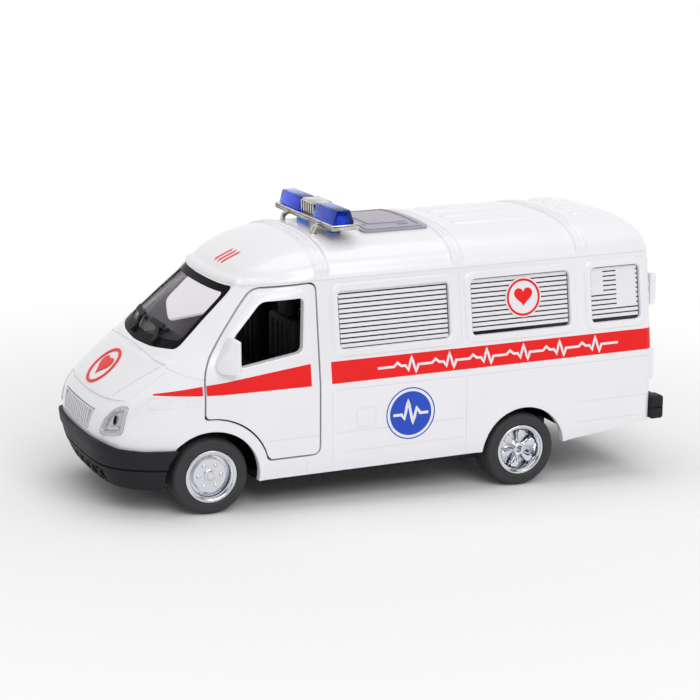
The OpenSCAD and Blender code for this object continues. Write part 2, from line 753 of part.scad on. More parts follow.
body_shell();
door_left();
door_right();
door_hinge_left();
door_hinge_right();
door_pins();
mirror_left();
mirror_right();
windscreen();
wipers();
side_glazing_left();
side_glazing_right();
grille();
headlamp_lenses();
headlamp_reflectors();
front_bumper();
rear_bumper();
rear_door_left();
rear_door_right();
rear_window_left();
rear_window_right();
rear_hinge_brackets();
base_plate();
base_screws();
interior_tub();
seats();
steering_wheel();
front_axle();
rear_axle();
front_hubs();
rear_hubs();
front_tyres();
rear_tyres();
drive_case();
drive_cover();
axle_gear();
idler_gear();
flywheel();
lightbar_base();
lightbar_centre();
lens_left();
lens_right();
roof_hatch();
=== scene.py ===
import math
from functools import lru_cache

import bmesh
import bpy
import numpy as np
from mathutils import Matrix, Vector


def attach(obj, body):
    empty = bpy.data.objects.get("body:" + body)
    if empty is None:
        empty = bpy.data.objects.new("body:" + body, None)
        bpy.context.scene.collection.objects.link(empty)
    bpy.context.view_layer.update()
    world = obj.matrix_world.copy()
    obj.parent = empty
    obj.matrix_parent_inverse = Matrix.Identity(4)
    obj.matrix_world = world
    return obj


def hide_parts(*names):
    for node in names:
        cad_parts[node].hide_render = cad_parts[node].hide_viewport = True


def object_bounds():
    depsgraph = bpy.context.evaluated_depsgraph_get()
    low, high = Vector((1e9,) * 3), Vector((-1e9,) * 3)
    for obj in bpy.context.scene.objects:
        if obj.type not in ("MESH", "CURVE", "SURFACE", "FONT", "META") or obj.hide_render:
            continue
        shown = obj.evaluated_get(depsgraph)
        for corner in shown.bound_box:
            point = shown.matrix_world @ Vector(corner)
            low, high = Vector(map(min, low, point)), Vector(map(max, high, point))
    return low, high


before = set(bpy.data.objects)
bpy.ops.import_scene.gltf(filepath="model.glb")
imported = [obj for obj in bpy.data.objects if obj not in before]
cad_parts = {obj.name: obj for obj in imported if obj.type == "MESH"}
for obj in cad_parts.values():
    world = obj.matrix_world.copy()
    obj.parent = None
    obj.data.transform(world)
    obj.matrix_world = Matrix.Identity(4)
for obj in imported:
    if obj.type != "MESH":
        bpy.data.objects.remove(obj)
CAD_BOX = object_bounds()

bl_info = {
    "name": "Toy ambulance",
    "version": (1, 0, 0),
    "blender": (4, 5, 0),
    "location": "View3D > Sidebar > Ambulance",
    "description": "Fine pieces, prints, materials and stage for the toy ambulance",
    "category": "Object",
}

# Millimetres in the body's own frame: x forward from midway between the axles, y left, z up.
RAKE, MID = math.radians(2.08), 4.45
PLACE = (Matrix.Translation((MID / 1000, 0, 0)) @ Matrix.Rotation(RAKE, 4, "Y") @ Matrix.Scale(0.001, 4))
WALL, FOOT, TAIL = 1.2, 4.6, -56.1
BELT, GUTTER, RISE, LEAN, HALF = 21.84, 39.5, 6.0, 0.133, 20.0
GUTTER_HALF = HALF - LEAN * (GUTTER - BELT)
DOME = 2.6         # power of the curve across the roof
SIDE_BOW = 0.05    # how far a side swells between nose and tail
NOSE_SAMPLES = 260
FAR = 30           # beyond the casting on either side
AXLES = ((28.74, 7.68), (-29.22, 5.57))
ARCH, ARCH_LIP, BUMPER_ARCH = 8.1, 8.55, 7.8
LAMP_TURN = math.radians(40)

# Height and the nose's or the tail's place there; then outlines, on the side (x, z) or from the front (y, z).
NOSE = np.array([(4, 43.3), (5.4, 44.0), (9, 45.7), (12, 46.5), (15.2, 46.8), (17.5, 46.45), (18.75, 46.0), (20, 45.2),
                 (21.2, 44.2), (23.8, 41.3), (26.4, 38.1), (28.7, 35.2), (33.5, 29.55), (38.3, 23.9), (39.5, 22.8),
                 (40.84, 21.4), (42.33, 18.9), (43.47, 16.4), (44.25, 14.1), (44.94, 11.3), (45.3, 9), (45.45, 7),
                 (45.5, 5)])
BACK = np.array([(4, 0), (38.3, 0), (39.5, 0.3), (40.84, 0.6), (42.33, 1.2), (43.47, 1.9), (44.25, 2.6), (44.94, 3.5),
                 (45.3, 4.4), (45.45, 5.5), (45.5, 6)])
PANES = ((-15, 5.7), (-38.6, -19.2), (-52.9, -42.9))
PANE_Z = (27.4, 37.2)
ROOF_RIBS, RIDGE = (8.3, -16.8, -41.1), 0.95
ROOF_BARS = ((-37.6, -20.6), (-49.4, -44.3))
DOOR = [(9.7, 9.8), (9.5, 39.1), (19.7, 38.4), (22.6, 35.4), (26.2, 31.2), (28.6, 28), (29.5, 26), (29.8, 24),
        (29.9, 17.9)]
DOOR_ARCH = (29.0, AXLES[0][1], 10.2)
DOOR_WINDOW = [(12.3, 36.2), (13, 28.1), (23.2, 26.6), (24, 30.5), (18.7, 35.9)]
SILL = [(60, 0), (60, 6.35), (-37, 6.35), (-60, 9.05), (-60, 0)]
BUMPER_TOP = ((30, 12.9), (40, 12.95), (43.5, 13.3), (46, 14.2), (52, 14.7))
BUMPER = [(30, 5.9), *BUMPER_TOP, (52, 9), (47, 7.2), (43, 6.1), (38, 5.9)]
SCREEN = [(11.4, 37.8), (0, 37.9), (-11.4, 37.8), (-12.9, 29.4), (-7, 28.9), (0, 28.7), (7, 28.9), (12.9, 29.4)]
GRILLE = [(8.1, 18.6), (-8.1, 18.6), (-7.0, 15.55), (7.0, 15.55)]
LAMP = [(-15.7, 20), (-16.4, 16), (-20.1, 15.6), (-19.6, 17.4), (-18, 19.2), (-16.6, 20)]
POD_SIDE = [(24.1, 25.9), (24.5, 25.5), (27.2, 25.6), (27.9, 26.3), (27.7, 27.4), (26, 30.1), (25.1, 31.1),
            (24.3, 31.1), (24.1, 30.9)]
POD_PLAN = [(28.4, 16), (28.4, 18.9), (27.6, 19.9), (26.2, 20.9), (24.7, 21.6), (24.1, 21.4), (24.1, 16)]
TAIL_HINGES = (18.5, 32.35)

# Wheels: (radius, depth from the outer face) round each section, and a rear spoke's outline.
TYRE = [(4.54, -0.3), (4.75, -0.12), (5.0, 0), (5.2, -0.02), (5.3, -0.1), (5.45, -0.1), (5.6, -0.04), (5.85, -0.06),
        (6.1, -0.13), (6.3, -0.27), (6.46, -0.48), (6.56, -0.75), (6.6, -1.05), (6.62, -1.4)]
TREAD_GROOVE = ((6.62, 0.16), (6.55, 0.1), (6.55, -0.1), (6.62, -0.16))
FRONT_HUB = [(0.88, -4.6), (0.88, -1.6), (0.001, -1.6), (0.001, -0.6), (0.55, -0.6), (0.6, -0.68), (0.68, -0.68),
             (0.75, -0.58), (1.0, -0.62), (1.05, -0.98), (2.85, -0.95), (2.97, -1.05), (3.02, -2.0), (3.46, -2.0),
             (3.52, -1.2), (3.62, -0.55), (3.74, -0.38), (3.9, -0.34), (3.98, -0.16), (4.1, -0.08), (4.35, -0.06),
             (4.47, -0.12), (4.54, -0.25), (4.54, -4.7), (4, -4.7), (3.6, -2.2), (1.6, -2.2), (1.6, -4.6)]
REAR_HUB = [(0.88, -6), (0.88, -1.62), (0.52, -1.62), (0.52, -0.72), (0.62, -0.58), (0.92, -0.58), (1.08, -0.72),
            (1.2, -2.4), (3.2, -2.5), (3.4, -2.3), (3.6, -1.2), (3.72, -0.55), (3.85, -0.36), (4.0, -0.3),
            (4.06, -0.14), (4.2, -0.07), (4.38, -0.07), (4.48, -0.14), (4.54, -0.28), (4.54, -6.1), (4, -6.1),
            (3.6, -3.2), (1.7, -3.2), (1.7, -6)]
SPOKE = [(0.8, -0.36), (1.6, -0.3), (2.3, -0.66), (3.1, -0.8), (3.55, -0.5), (3.55, 0.5), (3.1, 0.8), (2.3, 0.66),
         (1.6, 0.3), (0.8, 0.36)]
WHEELS = (("front", AXLES[0], 18.5, 5.0, FRONT_HUB), ("rear", AXLES[1], 19.0, 6.4, REAR_HUB))

# Prints: heights and middles on the side, how far ink stands off, and points round a mark.
STRIPE_TOP, STRIPE_FOOT, PULSE_Z = 25.55, 21.83, 23.6
BADGE, ROUNDEL, BONNET_Z = (-7.1, 15.1), (-29.6, 33.2), 23.8
INK, OVERPRINT, ROUND = 0.03, 0.055, 72
PULSE = ((0, 0), (0.7, 0.6), (1.4, 0), (2.2, 0), (2.7, -0.8), (3.4, 1.5), (4.1, -1.3), (4.6, 0))
BEAT = [(-10.4, 15.0), (-8.9, 15.0), (-8.2, 16.0), (-7.5, 13.2), (-6.6, 17.6), (-5.9, 14.2), (-5.4, 15.0), (-3.8, 15.0)]

# The photograph's camera, solved from it: where it stands and how it is turned in the body's frame, and its focal
# length in pixels of a picture this wide.
CAMERA_AT, CAMERA_TURN = (134.31, 323.10, 108.67), [math.radians(a) for a in (23.23, 13.84, -0.17)]
FOCAL_PX, PHOTO_PX, SENSOR_MM = 2017.1, 700, 36.0

MATS, SHARED = {}, {}


# ---------------------------------------------------------------- shape of the casting
def monotone(table):
    """A smooth curve through a table of rising first values that never overshoots."""
    t, y = table[:, 0], table[:, 1]
    h, d = np.diff(t), np.diff(y) / np.diff(t)
    m = np.zeros(len(t))
    both = d[:-1] * d[1:] > 0
    before, after = np.where(both, d[:-1], 1), np.where(both, d[1:], 1)
    m[1:-1][both] = (3 * (h[:-1] + h[1:]) / ((2 * h[1:] + h[:-1]) / before + (h[1:] + 2 * h[:-1]) / after))[both]
    m[0], m[-1] = d[0], d[-1]

    def at(x):
        x = np.clip(x, t[0], t[-1])
        i = np.clip(np.searchsorted(t, x) - 1, 0, len(h) - 1)
        s = (x - t[i]) / h[i]
        return ((1 + 2 * s) * (1 - s) ** 2 * y[i] + s * (1 - s) ** 2 * h[i] * m[i]
                + s * s * (3 - 2 * s) * y[i + 1] + s * s * (s - 1) * h[i] * m[i + 1])
    return at


nose_x, back_dx = monotone(NOSE), monotone(BACK)


def ease(t):
    t = np.clip(t, 0, 1)
    return t * t * (3 - 2 * t)


def half_w(z):
    """Half the width at height z: tucked in at the foot, leaning in above the belt, domed above the gutter."""
    low = HALF - 0.5 * np.maximum(0, (9 - z) / 3.6) ** 2 - 0.0012 * np.minimum(0, z - 17.4) ** 2
    mid = HALF - LEAN * (z - BELT)
    top = GUTTER_HALF * np.maximum(0, 1 - np.clip((z - GUTTER) / RISE, 0, 1) ** DOME) ** (1 / DOME)
    return np.where(z <= BELT, low, np.where(z <= GUTTER, mid, top))


def dome(y):
    """The roof's height at sideways place y."""
    return GUTTER + RISE * (1 - (abs(y) / GUTTER_HALF) ** DOME) ** (1 / DOME)


def scale_of(z):
    return np.where(z > GUTTER, half_w(z) / GUTTER_HALF, 1.0)


def nose_drop(v, z):
    """How far the front falls back from its middle, at share v of the half width."""
    k = ease((z - 16) / 12)
    return scale_of(z) * ((1.6 + k) * v ** 2 + (22 - 12.5 * k) * (1 - np.maximum(0, 1 - v ** 6) ** 0.714))


def tail_in(v, z):
    return TAIL + back_dx(z) + scale_of(z) * (0.2 * v ** 2 + 2.3 * (1 - np.sqrt(np.maximum(0, 1 - v ** 14))))


def closing(n):
    """n shares from 0 to 1, close-set near 1."""
    return 1 - (1 - np.linspace(0, 1, n)) ** 2


def lines(low, high, step, marks, near, count):
    """Rising values between low and high, with close-set ones round each mark."""
    out = list(np.linspace(low, high, max(2, int(round((high - low) / step)) + 1)))
    for m in marks:
        out += [m + near * i for i in range(-count, count + 1) if low < m + near * i < high]
    out = np.array(sorted(out))
    keep = np.concatenate([[True], np.diff(out) > near * 0.45])
    keep[-1] = True
    return out[keep]


def cap(part, n):
    """Heights of n rings over the first part of the roof's curve."""
    return GUTTER + RISE * np.sin(np.linspace(0, part, n) * math.pi / 2) ** (2 / DOME)


def casting_grid(fine):
    """Rows of half rings: arrays x, y, z of shape (rows, columns), left half, from the nose's middle to the tail's."""
    if fine:
        zs = lines(FOOT, GUTTER, 0.62, (20, 26.2, 27.3, 37.3, 38.4, 39.35), 0.14, 3)
        curve = cap(0.6, 24)
        wide = lines(0, half_w(curve[-1:])[0], 0.42, (1.55, 3.65, 6.75, 8.85), 0.17, 2)[-2::-1]
        zs = np.concatenate([zs[:-1], curve, dome(wide)])
        v = closing(92)
        marks = [e + d for pane in PANES for e in pane for d in (-1.2, 0, 1.2)]
        marks += [c + d for c in ROOF_RIBS[1:] for d in (RIDGE, 0, -RIDGE)] + [-20.6, -37.6, -44.3, -49.1]
        fixed = lines(-49.5, 3, 0.8, marks, 0.15, 2)[::-1]
        n_front, n_back, n_tail = 52, 22, 26
    else:
        zs = np.concatenate([np.linspace(FOOT, GUTTER, 30)[:-1], cap(1, 14)])
        v = closing(26)
        fixed = np.linspace(3, -49.5, 8)
        n_front, n_back, n_tail = 6, 4, 12
    z = zs[:, None]
    w = half_w(z)
    front_x, front_y = nose_x(z) - nose_drop(v[None], z), v[None] * w
    xa = front_x[:, -1:]
    lead_x = xa + (fixed[0] - xa) * np.linspace(0, 1, n_front + 1)[1:-1][None]
    vt = (1 - np.linspace(0, 1, n_tail) ** 2)[None]
    rear_x, rear_y = tail_in(vt, z), vt * w
    xb = rear_x[:, :1]
    trail_x = fixed[-1] + (xb - fixed[-1]) * np.linspace(0, 1, n_back + 1)[1:-1][None]
    side_x = np.concatenate([lead_x, np.broadcast_to(fixed[None], (len(zs), len(fixed))), trail_x], 1)
    bow = SIDE_BOW * np.sin(math.pi * np.clip((xa - side_x) / (xa - xb), 0, 1))
    side_y = w + bow * np.minimum(1, w / 4)
    x = np.concatenate([front_x, side_x, rear_x], 1)
    y = np.concatenate([front_y, side_y, rear_y], 1)
    return x, y, np.broadcast_to(z, x.shape)


def grid_normals(x, y, z):
    p = np.stack([x, y, z], -1)
    n = np.cross(np.gradient(p, axis=1), np.gradient(p, axis=0))
    size = np.linalg.norm(n, axis=-1, keepdims=True)
    n = np.where(size > 1e-9, n / np.maximum(size, 1e-9), 0)
    n[:, (0, -1), 1] = 0
    n[-1] = (0, 0, 1)
    n[np.linalg.norm(n, axis=-1) < 0.5] = (0, 0, 1)
    return n / np.linalg.norm(n, axis=-1, keepdims=True)


def bump(d, half, soft):
    """1 within half of d = 0, falling softly to 0 over soft."""
    return ease((half + soft / 2 - np.abs(d)) / soft)


def box_sdf(u, v, u0, u1, v0, v1, r):
    """Signed distance to a box with corners of radius r, negative inside."""
    a = np.abs(u - (u0 + u1) / 2) - (u1 - u0) / 2 + r
    b = np.abs(v - (v0 + v1) / 2) - (v1 - v0) / 2 + r
    return np.minimum(np.maximum(a, b), 0) + np.hypot(np.maximum(a, 0), np.maximum(b, 0)) - r


def poly_sdf(u, v, pts):
    """Signed distance to a closed outline, negative inside."""
    d = np.full(u.shape, 1e9)
    inside = np.zeros(u.shape, bool)
    for (x0, y0), (x1, y1) in zip(pts, pts[1:] + pts[:1]):
        ex, ey = x1 - x0, y1 - y0
        t = np.clip(((u - x0) * ex + (v - y0) * ey) / (ex * ex + ey * ey), 0, 1)
        d = np.minimum(d, np.hypot(u - x0 - t * ex, v - y0 - t * ey))
        if y0 != y1:
            inside ^= ((y0 > v) != (y1 > v)) & (u < (v - y0) / (y1 - y0) * ex + x0)
    return np.where(inside, -d, d)


def relief(x, y, z):
    """How far the casting's surface stands proud of its smooth form, in millimetres."""
    h = np.zeros(x.shape)
    a = np.abs(y)
    roof = ease((z - 40.0) / 0.7)
    # roof ribs, each of three soft ridges
    for c in ROOF_RIBS:
        for d in (-RIDGE, 0, RIDGE):
            h += roof * 0.2 * bump(x - c - d, 0.2, 0.3)
        h += roof * 0.1 * bump(x - c, 1.1, 0.4)
    # long bars on the roof
    for c in (2.6, 7.8):
        for x0, x1 in ROOF_BARS:
            d = box_sdf(x, a, x0, x1, c - 0.95, c + 0.95, 0.9)
            h += 0.32 * ease((0.2 - d) / 0.75) * (z > 41)
    # drip rail over the doors and windows
    g = GUTTER - 0.006 * np.maximum(0, x - 9) ** 2
    rail = ease((z - g + 0.24) / 0.22) * ease((g + 1.3 - z) / 1.2)
    h += 0.3 * rail * ease((22.5 - x) / 1.2) * ease((x + 55.4) / 0.6) * (a > 8)
    side = (a > half_w(z) * 0.97) & (z < 39.2)
    # raised frames round the side windows and the door window
    for x0, x1 in PANES:
        h += 0.24 * bump(box_sdf(x, z, x0, x1, *PANE_Z, 0.8) - 0.6, 0.6, 0.28) * side
    d = poly_sdf(x, z, DOOR_WINDOW)
    h += 0.22 * bump(d - 1.05, 0.62, 0.4) * (x > 10.4) * (a > 12) * (z > 24) * (z < 39) * (x < 27.5)
    # wheel-arch lips
    low = (a > half_w(z) * 0.93) & (z < 27)
    for cx, cz in AXLES:
        h += 0.16 * bump(np.hypot(x - cx, z - cz) - ARCH_LIP, 0.5, 0.5) * low
    # bonnet's raised middle
    front = ease((x - 27) / 3) * (z < 28.2) * (z > 18)
    near, far = 14.2 - (26.4 - z) * 0.64, 15.6 - (26.4 - z) * 0.22
    slope = ease((far - a) / np.maximum(0.4, far - near))
    h += 0.16 * front * slope * ease((z - 20.4) / 0.4) * ease((27.3 - z) / 0.4)
    # raised lip over the windscreen, fainter round the rest of it
    lip = poly_sdf(y, z, SCREEN)
    h += 0.26 * bump(lip - 1.25, 0.5, 0.5) * (x > 14) * ease((z - 36.6) / 1.2) * (z < 40.6)
    h += 0.1 * bump(lip - 1.1, 0.4, 0.4) * (x > 14) * (z <= 37.2)
    # ribbed blocks by the upper tail hinges
    up = z - TAIL_HINGES[1]
    pad = ease((-53.9 - x) / 0.3) * ease((x + 55.75) / 0.3) * bump(up, 2.8, 0.3) * (a > 15)
    return h + pad * (0.16 + 0.1 * np.cos(up * 2 * math.pi / 0.95))


def casting(offset=0.0, fine=True, field=relief):
    """The closed casting, grown by offset, as a mesh in millimetres; a fine one also by a field."""
    x, y, z = casting_grid(fine)
    h = np.full(x.shape, offset)
    if fine:
        h = h + field(x, y, z)
    p = np.stack([x, y, z], -1) + grid_normals(x, y, z) * h[..., None]
    p[:, (0, -1), 1] = 0
    p[-1, :, 1] = 0
    if offset < -0.5:
        p[0, :, 2] -= 1.5  # an inner form passes through the open foot
    ring = np.concatenate([p, p[:, -2:0:-1] * (1, -1, 1)], 1)
    rows, count = ring.shape[:2]
    return tidy_mesh("casting", ring.reshape(-1, 3), quads(rows, count) + [tuple(range(count))[::-1]])


# ---------------------------------------------------------------- mesh helpers
def quads(rows, cols, base=0, ring=True, loop=False):
    """Faces of a grid of points, row by row; ring closes each row, loop joins the last row to the first."""
    out = []
    for i in range(rows if loop else rows - 1):
        for j in range(cols if ring else cols - 1):
            n, k = (i + 1) % rows, (j + 1) % cols
            out.append(tuple(base + r * cols + c for r, c in ((i, j), (i, k), (n, k), (n, j))))
    return out


def tidy_mesh(name, verts, faces, weld=2e-4):
    """A mesh with doubles merged first, then its faces turned outwards."""
    mesh = bpy.data.meshes.new(name)
    mesh.from_pydata([tuple(v) for v in np.asarray(verts, float)], [], [tuple(int(i) for i in f) for f in faces])
    bm = bmesh.new()
    bm.from_mesh(mesh)
    bmesh.ops.remove_doubles(bm, verts=bm.verts, dist=weld)
    bmesh.ops.dissolve_degenerate(bm, edges=bm.edges, dist=weld)
    bmesh.ops.recalc_face_normals(bm, faces=bm.faces)
    bm.to_mesh(mesh)
    bm.free()
    return mesh


def joined(*meshes):
    """One mesh holding separate closed shells."""
    bm = bmesh.new()
    for m in meshes:
        bm.from_mesh(m)
    out = bpy.data.meshes.new("joined")
    bm.to_mesh(out)
    bm.free()
    return out


def mirrored(mesh):
    """The same shell on the other side."""
    out = mesh.copy()
    bm = bmesh.new()
    bm.from_mesh(out)
    for v in bm.verts:
        v.co.y = -v.co.y
    bmesh.ops.reverse_faces(bm, faces=bm.faces)
    bm.to_mesh(out)
    bm.free()
    return out


def both(*meshes):
    """The shells and their mirror images in one mesh."""
    mesh = joined(*meshes)
    return joined(mesh, mirrored(mesh))


def applied(mesh, modifiers, inputs=()):
    """A mesh after (kind, settings) modifiers in turn; inputs are those of a node tree, by socket identifier."""
    o = bpy.data.objects.new("work", mesh)
    bpy.context.scene.collection.objects.link(o)
    for kind, settings in modifiers:
        m = o.modifiers.new(kind, kind)
        for k, v in settings.items():
            setattr(m, k, v)
        for k, v in dict(inputs).items():
            m[k] = v
    result = bpy.data.meshes.new_from_object(o.evaluated_get(bpy.context.evaluated_depsgraph_get()))
    bpy.data.objects.remove(o)
    if not result.polygons:
        raise RuntimeError("nothing is left of " + mesh.name)
    return result


def carved(start, cuts, within=None):
    """What of start lies within a mesh, if one is given, less each of the cuts."""
    steps = [("DIFFERENCE", c) for c in cuts]
    if within is not None:
        steps.insert(0, ("INTERSECT", within))
    modifiers = []
    for op, mesh in steps:
        tool = bpy.data.objects.new("tool", mesh)
        bpy.context.scene.collection.objects.link(tool)
        modifiers.append(("BOOLEAN", {"operation": op, "solver": "MANIFOLD", "object": tool}))
    result = applied(start, modifiers)
    for _, settings in modifiers:
        bpy.data.objects.remove(settings["object"])
    return result


def softened(mesh, width, segments=3, angle=35):
    """The mesh with its sharp edges rounded."""
    return applied(mesh, [("BEVEL", {"width": width, "segments": segments, "limit_method": "ANGLE",
                                     "angle_limit": math.radians(angle), "harden_normals": False})])


def piece(name, mesh, material, nodes=(), angle=42, body="body"):
    """Puts a finished mesh in the scene at its place, riding its body."""
    mesh.transform(PLACE)
    mesh.name = name
    mesh.shade_smooth()
    mesh.set_sharp_from_angle(angle=math.radians(angle))
    mesh.materials.clear()
    mesh.materials.append(MATS[material])
    o = bpy.data.objects.new(name, mesh)
    bpy.context.scene.collection.objects.link(o)
    if nodes:
        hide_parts(*nodes)
    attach(o, body)


def pair(name, mesh, material, node_name=None, angle=42, body=None):
    """The left piece and its mirror image, each with its own CAD node and body."""
    for side, shape in (("_left", mesh.copy()), ("_right", mirrored(mesh))):
        nodes = (node_name + side,) if node_name else ()
        piece(name + side, shape, material, nodes, angle, body + side if body else "body")


# ---------------------------------------------------------------- outlines and plain solids
def between(p, q, k, n=1):
    """The point k parts of n along the way from p to q."""
    return p[0] + (q[0] - p[0]) * k / n, p[1] + (q[1] - p[1]) * k / n


def middle(pts):
    return sum(p[0] for p in pts) / len(pts), sum(p[1] for p in pts) / len(pts)


def shrunk(pts, c, ku, kv=None):
    """An outline drawn in towards c, by ku along its first axis and kv, or ku too, along its second."""
    kv = ku if kv is None else kv
    return [(c[0] + (p[0] - c[0]) * ku, c[1] + (p[1] - c[1]) * kv) for p in pts]


def resampled(pts, step, closed=True):
    """An outline, or an open line, with points no further apart than step."""
    out = []
    for p, q in zip(pts, pts[1:] + pts[:1] * closed):
        n = max(1, int(math.ceil(math.dist(p, q) / step)))
        out += [between(p, q, k, n) for k in range(n)]
    return out if closed else out + [pts[-1]]


def rounded(pts, r, n=5):
    """An outline with each corner turned into an arc of about that radius."""
    out = []
    for i, p in enumerate(pts):
        p = Vector(p)
        a, b = Vector(pts[i - 1]) - p, Vector(pts[(i + 1) % len(pts)]) - p
        reach = min(r, a.length * 0.45, b.length * 0.45)
        s, e = p + a.normalized() * reach, p + b.normalized() * reach
        for k in range(n + 1):
            t = k / n
            out.append(tuple(s * (1 - t) ** 2 + p * 2 * t * (1 - t) + e * t * t))
    return out


def grown(pts, d):
    """An outline moved outwards by d (inwards if negative)."""
    area = sum(p[0] * q[1] - q[0] * p[1] for p, q in zip(pts, pts[1:] + pts[:1]))
    sign = 1 if area > 0 else -1
    out = []
    for i, p in enumerate(pts):
        p = Vector(p)
        a = (p - Vector(pts[i - 1])).normalized()
        b = (Vector(pts[(i + 1) % len(pts)]) - p).normalized()
        na, nb = Vector((a.y, -a.x)) * sign, Vector((b.y, -b.x)) * sign
        m = na + nb
        out.append(tuple(p + m * (d / max(0.35, m.dot(na)))))
    return out


def round_box(u0, u1, v0, v1, r):
    return rounded([(u0, v0), (u1, v0), (u1, v1), (u0, v1)], r)


def disc(c, r, n=ROUND):
    turns = [2 * math.pi * k / n for k in range(n)]
    return [(c[0] + r * math.cos(a), c[1] + r * math.sin(a)) for a in turns]


def prism(pts, low, high, axes="xzy"):
    """An outline swept straight from low to high; axes names the two outline axes and the sweep."""
    order = ["xyz".index(c) for c in axes]
    verts = []
    for level in (low, high):
        for p in pts:
            q = [0, 0, 0]
            q[order[0]], q[order[1]], q[order[2]] = p[0], p[1], level
            verts.append(q)
    n = len(pts)
    faces = [tuple(range(n)), tuple(range(2 * n - 1, n - 1, -1))]
    return tidy_mesh("prism", verts, faces + quads(2, n))


def through_sides(pts, near, far=FAR):
    """Prisms that pass through the left and the right wall."""
    return [prism(pts, near, far), prism(pts, -far, -near)]


def block(x0, x1, y0, y1, z0, z1, soft=0.0, segments=3):
    m = prism([(x0, y0), (x1, y0), (x1, y1), (x0, y1)], z0, z1, "xyz")
    return softened(m, soft, segments) if soft else m


def turned(profile, axle, y_face, side, steps):
    """A lathe shape about an axle: profile of (radius, depth from the face)."""
    turns = np.linspace(0, 2 * math.pi, steps, endpoint=False)
    verts = [(axle[0] + r * math.cos(a), side * (y_face + d), axle[1] + r * math.sin(a))
             for r, d in profile for a in turns]
    return tidy_mesh("turned", verts, quads(len(profile), steps, loop=True))


def swept(path, half_a, half_b, steps=16, power=4.0):
    """A soft square bar along a path of points in a plane of even y."""
    path = np.asarray(path, float)
    along = np.gradient(path, axis=0)
    along /= np.linalg.norm(along, axis=1, keepdims=True)
    across = np.array([0.0, 1, 0])
    verts = []
    for p, d in zip(path, along):
        up = np.cross(d, across)
        up /= np.linalg.norm(up)
        for k in range(steps):
            c, s = math.cos(2 * math.pi * k / steps), math.sin(2 * math.pi * k / steps)
            u, v = (math.copysign(abs(q) ** (2 / power), q) for q in (c, s))
            verts.append(p + across * half_a * u + up * half_b * v)
    ends = [tuple(range(steps)), tuple(range((len(path) - 1) * steps, len(path) * steps))[::-1]]
    return tidy_mesh("swept", verts, quads(len(path), steps) + ends)


# ---------------------------------------------------------------- plates and bars that follow the casting
@lru_cache(maxsize=20000)
def ring_at(z):
    """Left half of the casting's outline at one height: x, y from the nose's middle to the tail's."""
    v, vt = closing(NOSE_SAMPLES), 1 - np.linspace(0, 1, 60) ** 2
    t = np.linspace(0, 1, 14)[1:-1]
    w = half_w(z)
    xf, xr = nose_x(z) - nose_drop(v, z), tail_in(vt, z)
    xs = xf[-1] + (xr[0] - xf[-1]) * t
    return np.concatenate([xf, xs, xr]), np.concatenate([v * w, w + SIDE_BOW * np.sin(math.pi * t), vt * w])


def on_front(y, z, turn=0.0):
    """The point of the front at sideways place y (seen along a line turned outwards) and height z."""
    if turn == 0 and y < 0:
        return on_front(-y, z) * (1, -1, 1)
    x0, y0 = (r[:NOSE_SAMPLES + 2] for r in ring_at(round(float(z), 4)))
    u = -x0 * math.sin(turn) + y0 * math.cos(turn)
    return np.array([np.interp(y, u, x0), np.interp(y, u, y0), z])


def on_lamp(u, z):
    return on_front(u, z, LAMP_TURN)


def on_bonnet(y, s):
    """The bonnet's point at sideways place y and distance s up the slope from its roundel's middle."""
    return on_front(y, BONNET_Z + s * 0.64)


def on_side(x, z):
    x0, y0 = ring_at(round(float(z), 4))
    keep = y0 > half_w(z) * 0.45
    return np.array([x, np.interp(-x, -x0[keep], y0[keep]), z])


def on_roof(x, y):
    return np.array([x, y, dome(y)])


def on_tail(y, z):
    return np.array([TAIL, y, z])


# A direction that points off each surface.
OUT = {on_front: (1, 0, 0.3), on_bonnet: (1, 0, 0.6), on_lamp: (1, 0.8, 0), on_side: (0, 1, 0.1), on_roof: (0, 0, 1),
       on_tail: (-1, 0, 0)}


def lifted(at, a, b, off):
    """The point at(a, b) moved off along the surface's outward normal."""
    e = 0.05
    n = np.cross(at(a + e, b) - at(a - e, b), at(a, b + e) - at(a, b - e))
    n /= np.linalg.norm(n)
    return at(a, b) + n * (off if np.dot(n, OUT[at]) >= 0 else -off)


def patch(pts, at, top, under, rings=8, centre=None, hole=None, step=0.7):
    """A curved plate between two offsets from a surface: an outline that is star-shaped about its centre, or a band
    round a hole with as many corners."""
    if hole is None:
        pts = resampled(pts, step) if step else pts
        c = centre or middle(pts)
        loops = [[between(c, p, k, rings) for p in pts] for k in range(1, rings + 1)]
    else:
        loops = [[between(h, p, k, 2) for p, h in zip(pts, hole)] for k in range(3)]
    n, last = len(pts), len(loops) - 1
    verts, faces = [], []
    for off in (top, under):
        base = len(verts)
        verts += [lifted(at, *q, off) for loop in loops for q in loop]
        faces += quads(last + 1, n, base)
        if hole is None:
            verts.append(lifted(at, *c, off))
            faces += [(len(verts) - 1, base + j, base + (j + 1) % n) for j in range(n)]
    for i in ((last,) if hole is None else (0, last)):
        a, b = i * n, base + i * n
        faces += [(a + j, a + (j + 1) % n, b + (j + 1) % n, b + j) for j in range(n)]
    return tidy_mesh("patch", verts, faces, 1e-5)


def band(c, r, r_in, at, top, under):
    """A flat ring on a surface."""
    return patch(disc(c, r), at, top, under, hole=disc(c, r_in))


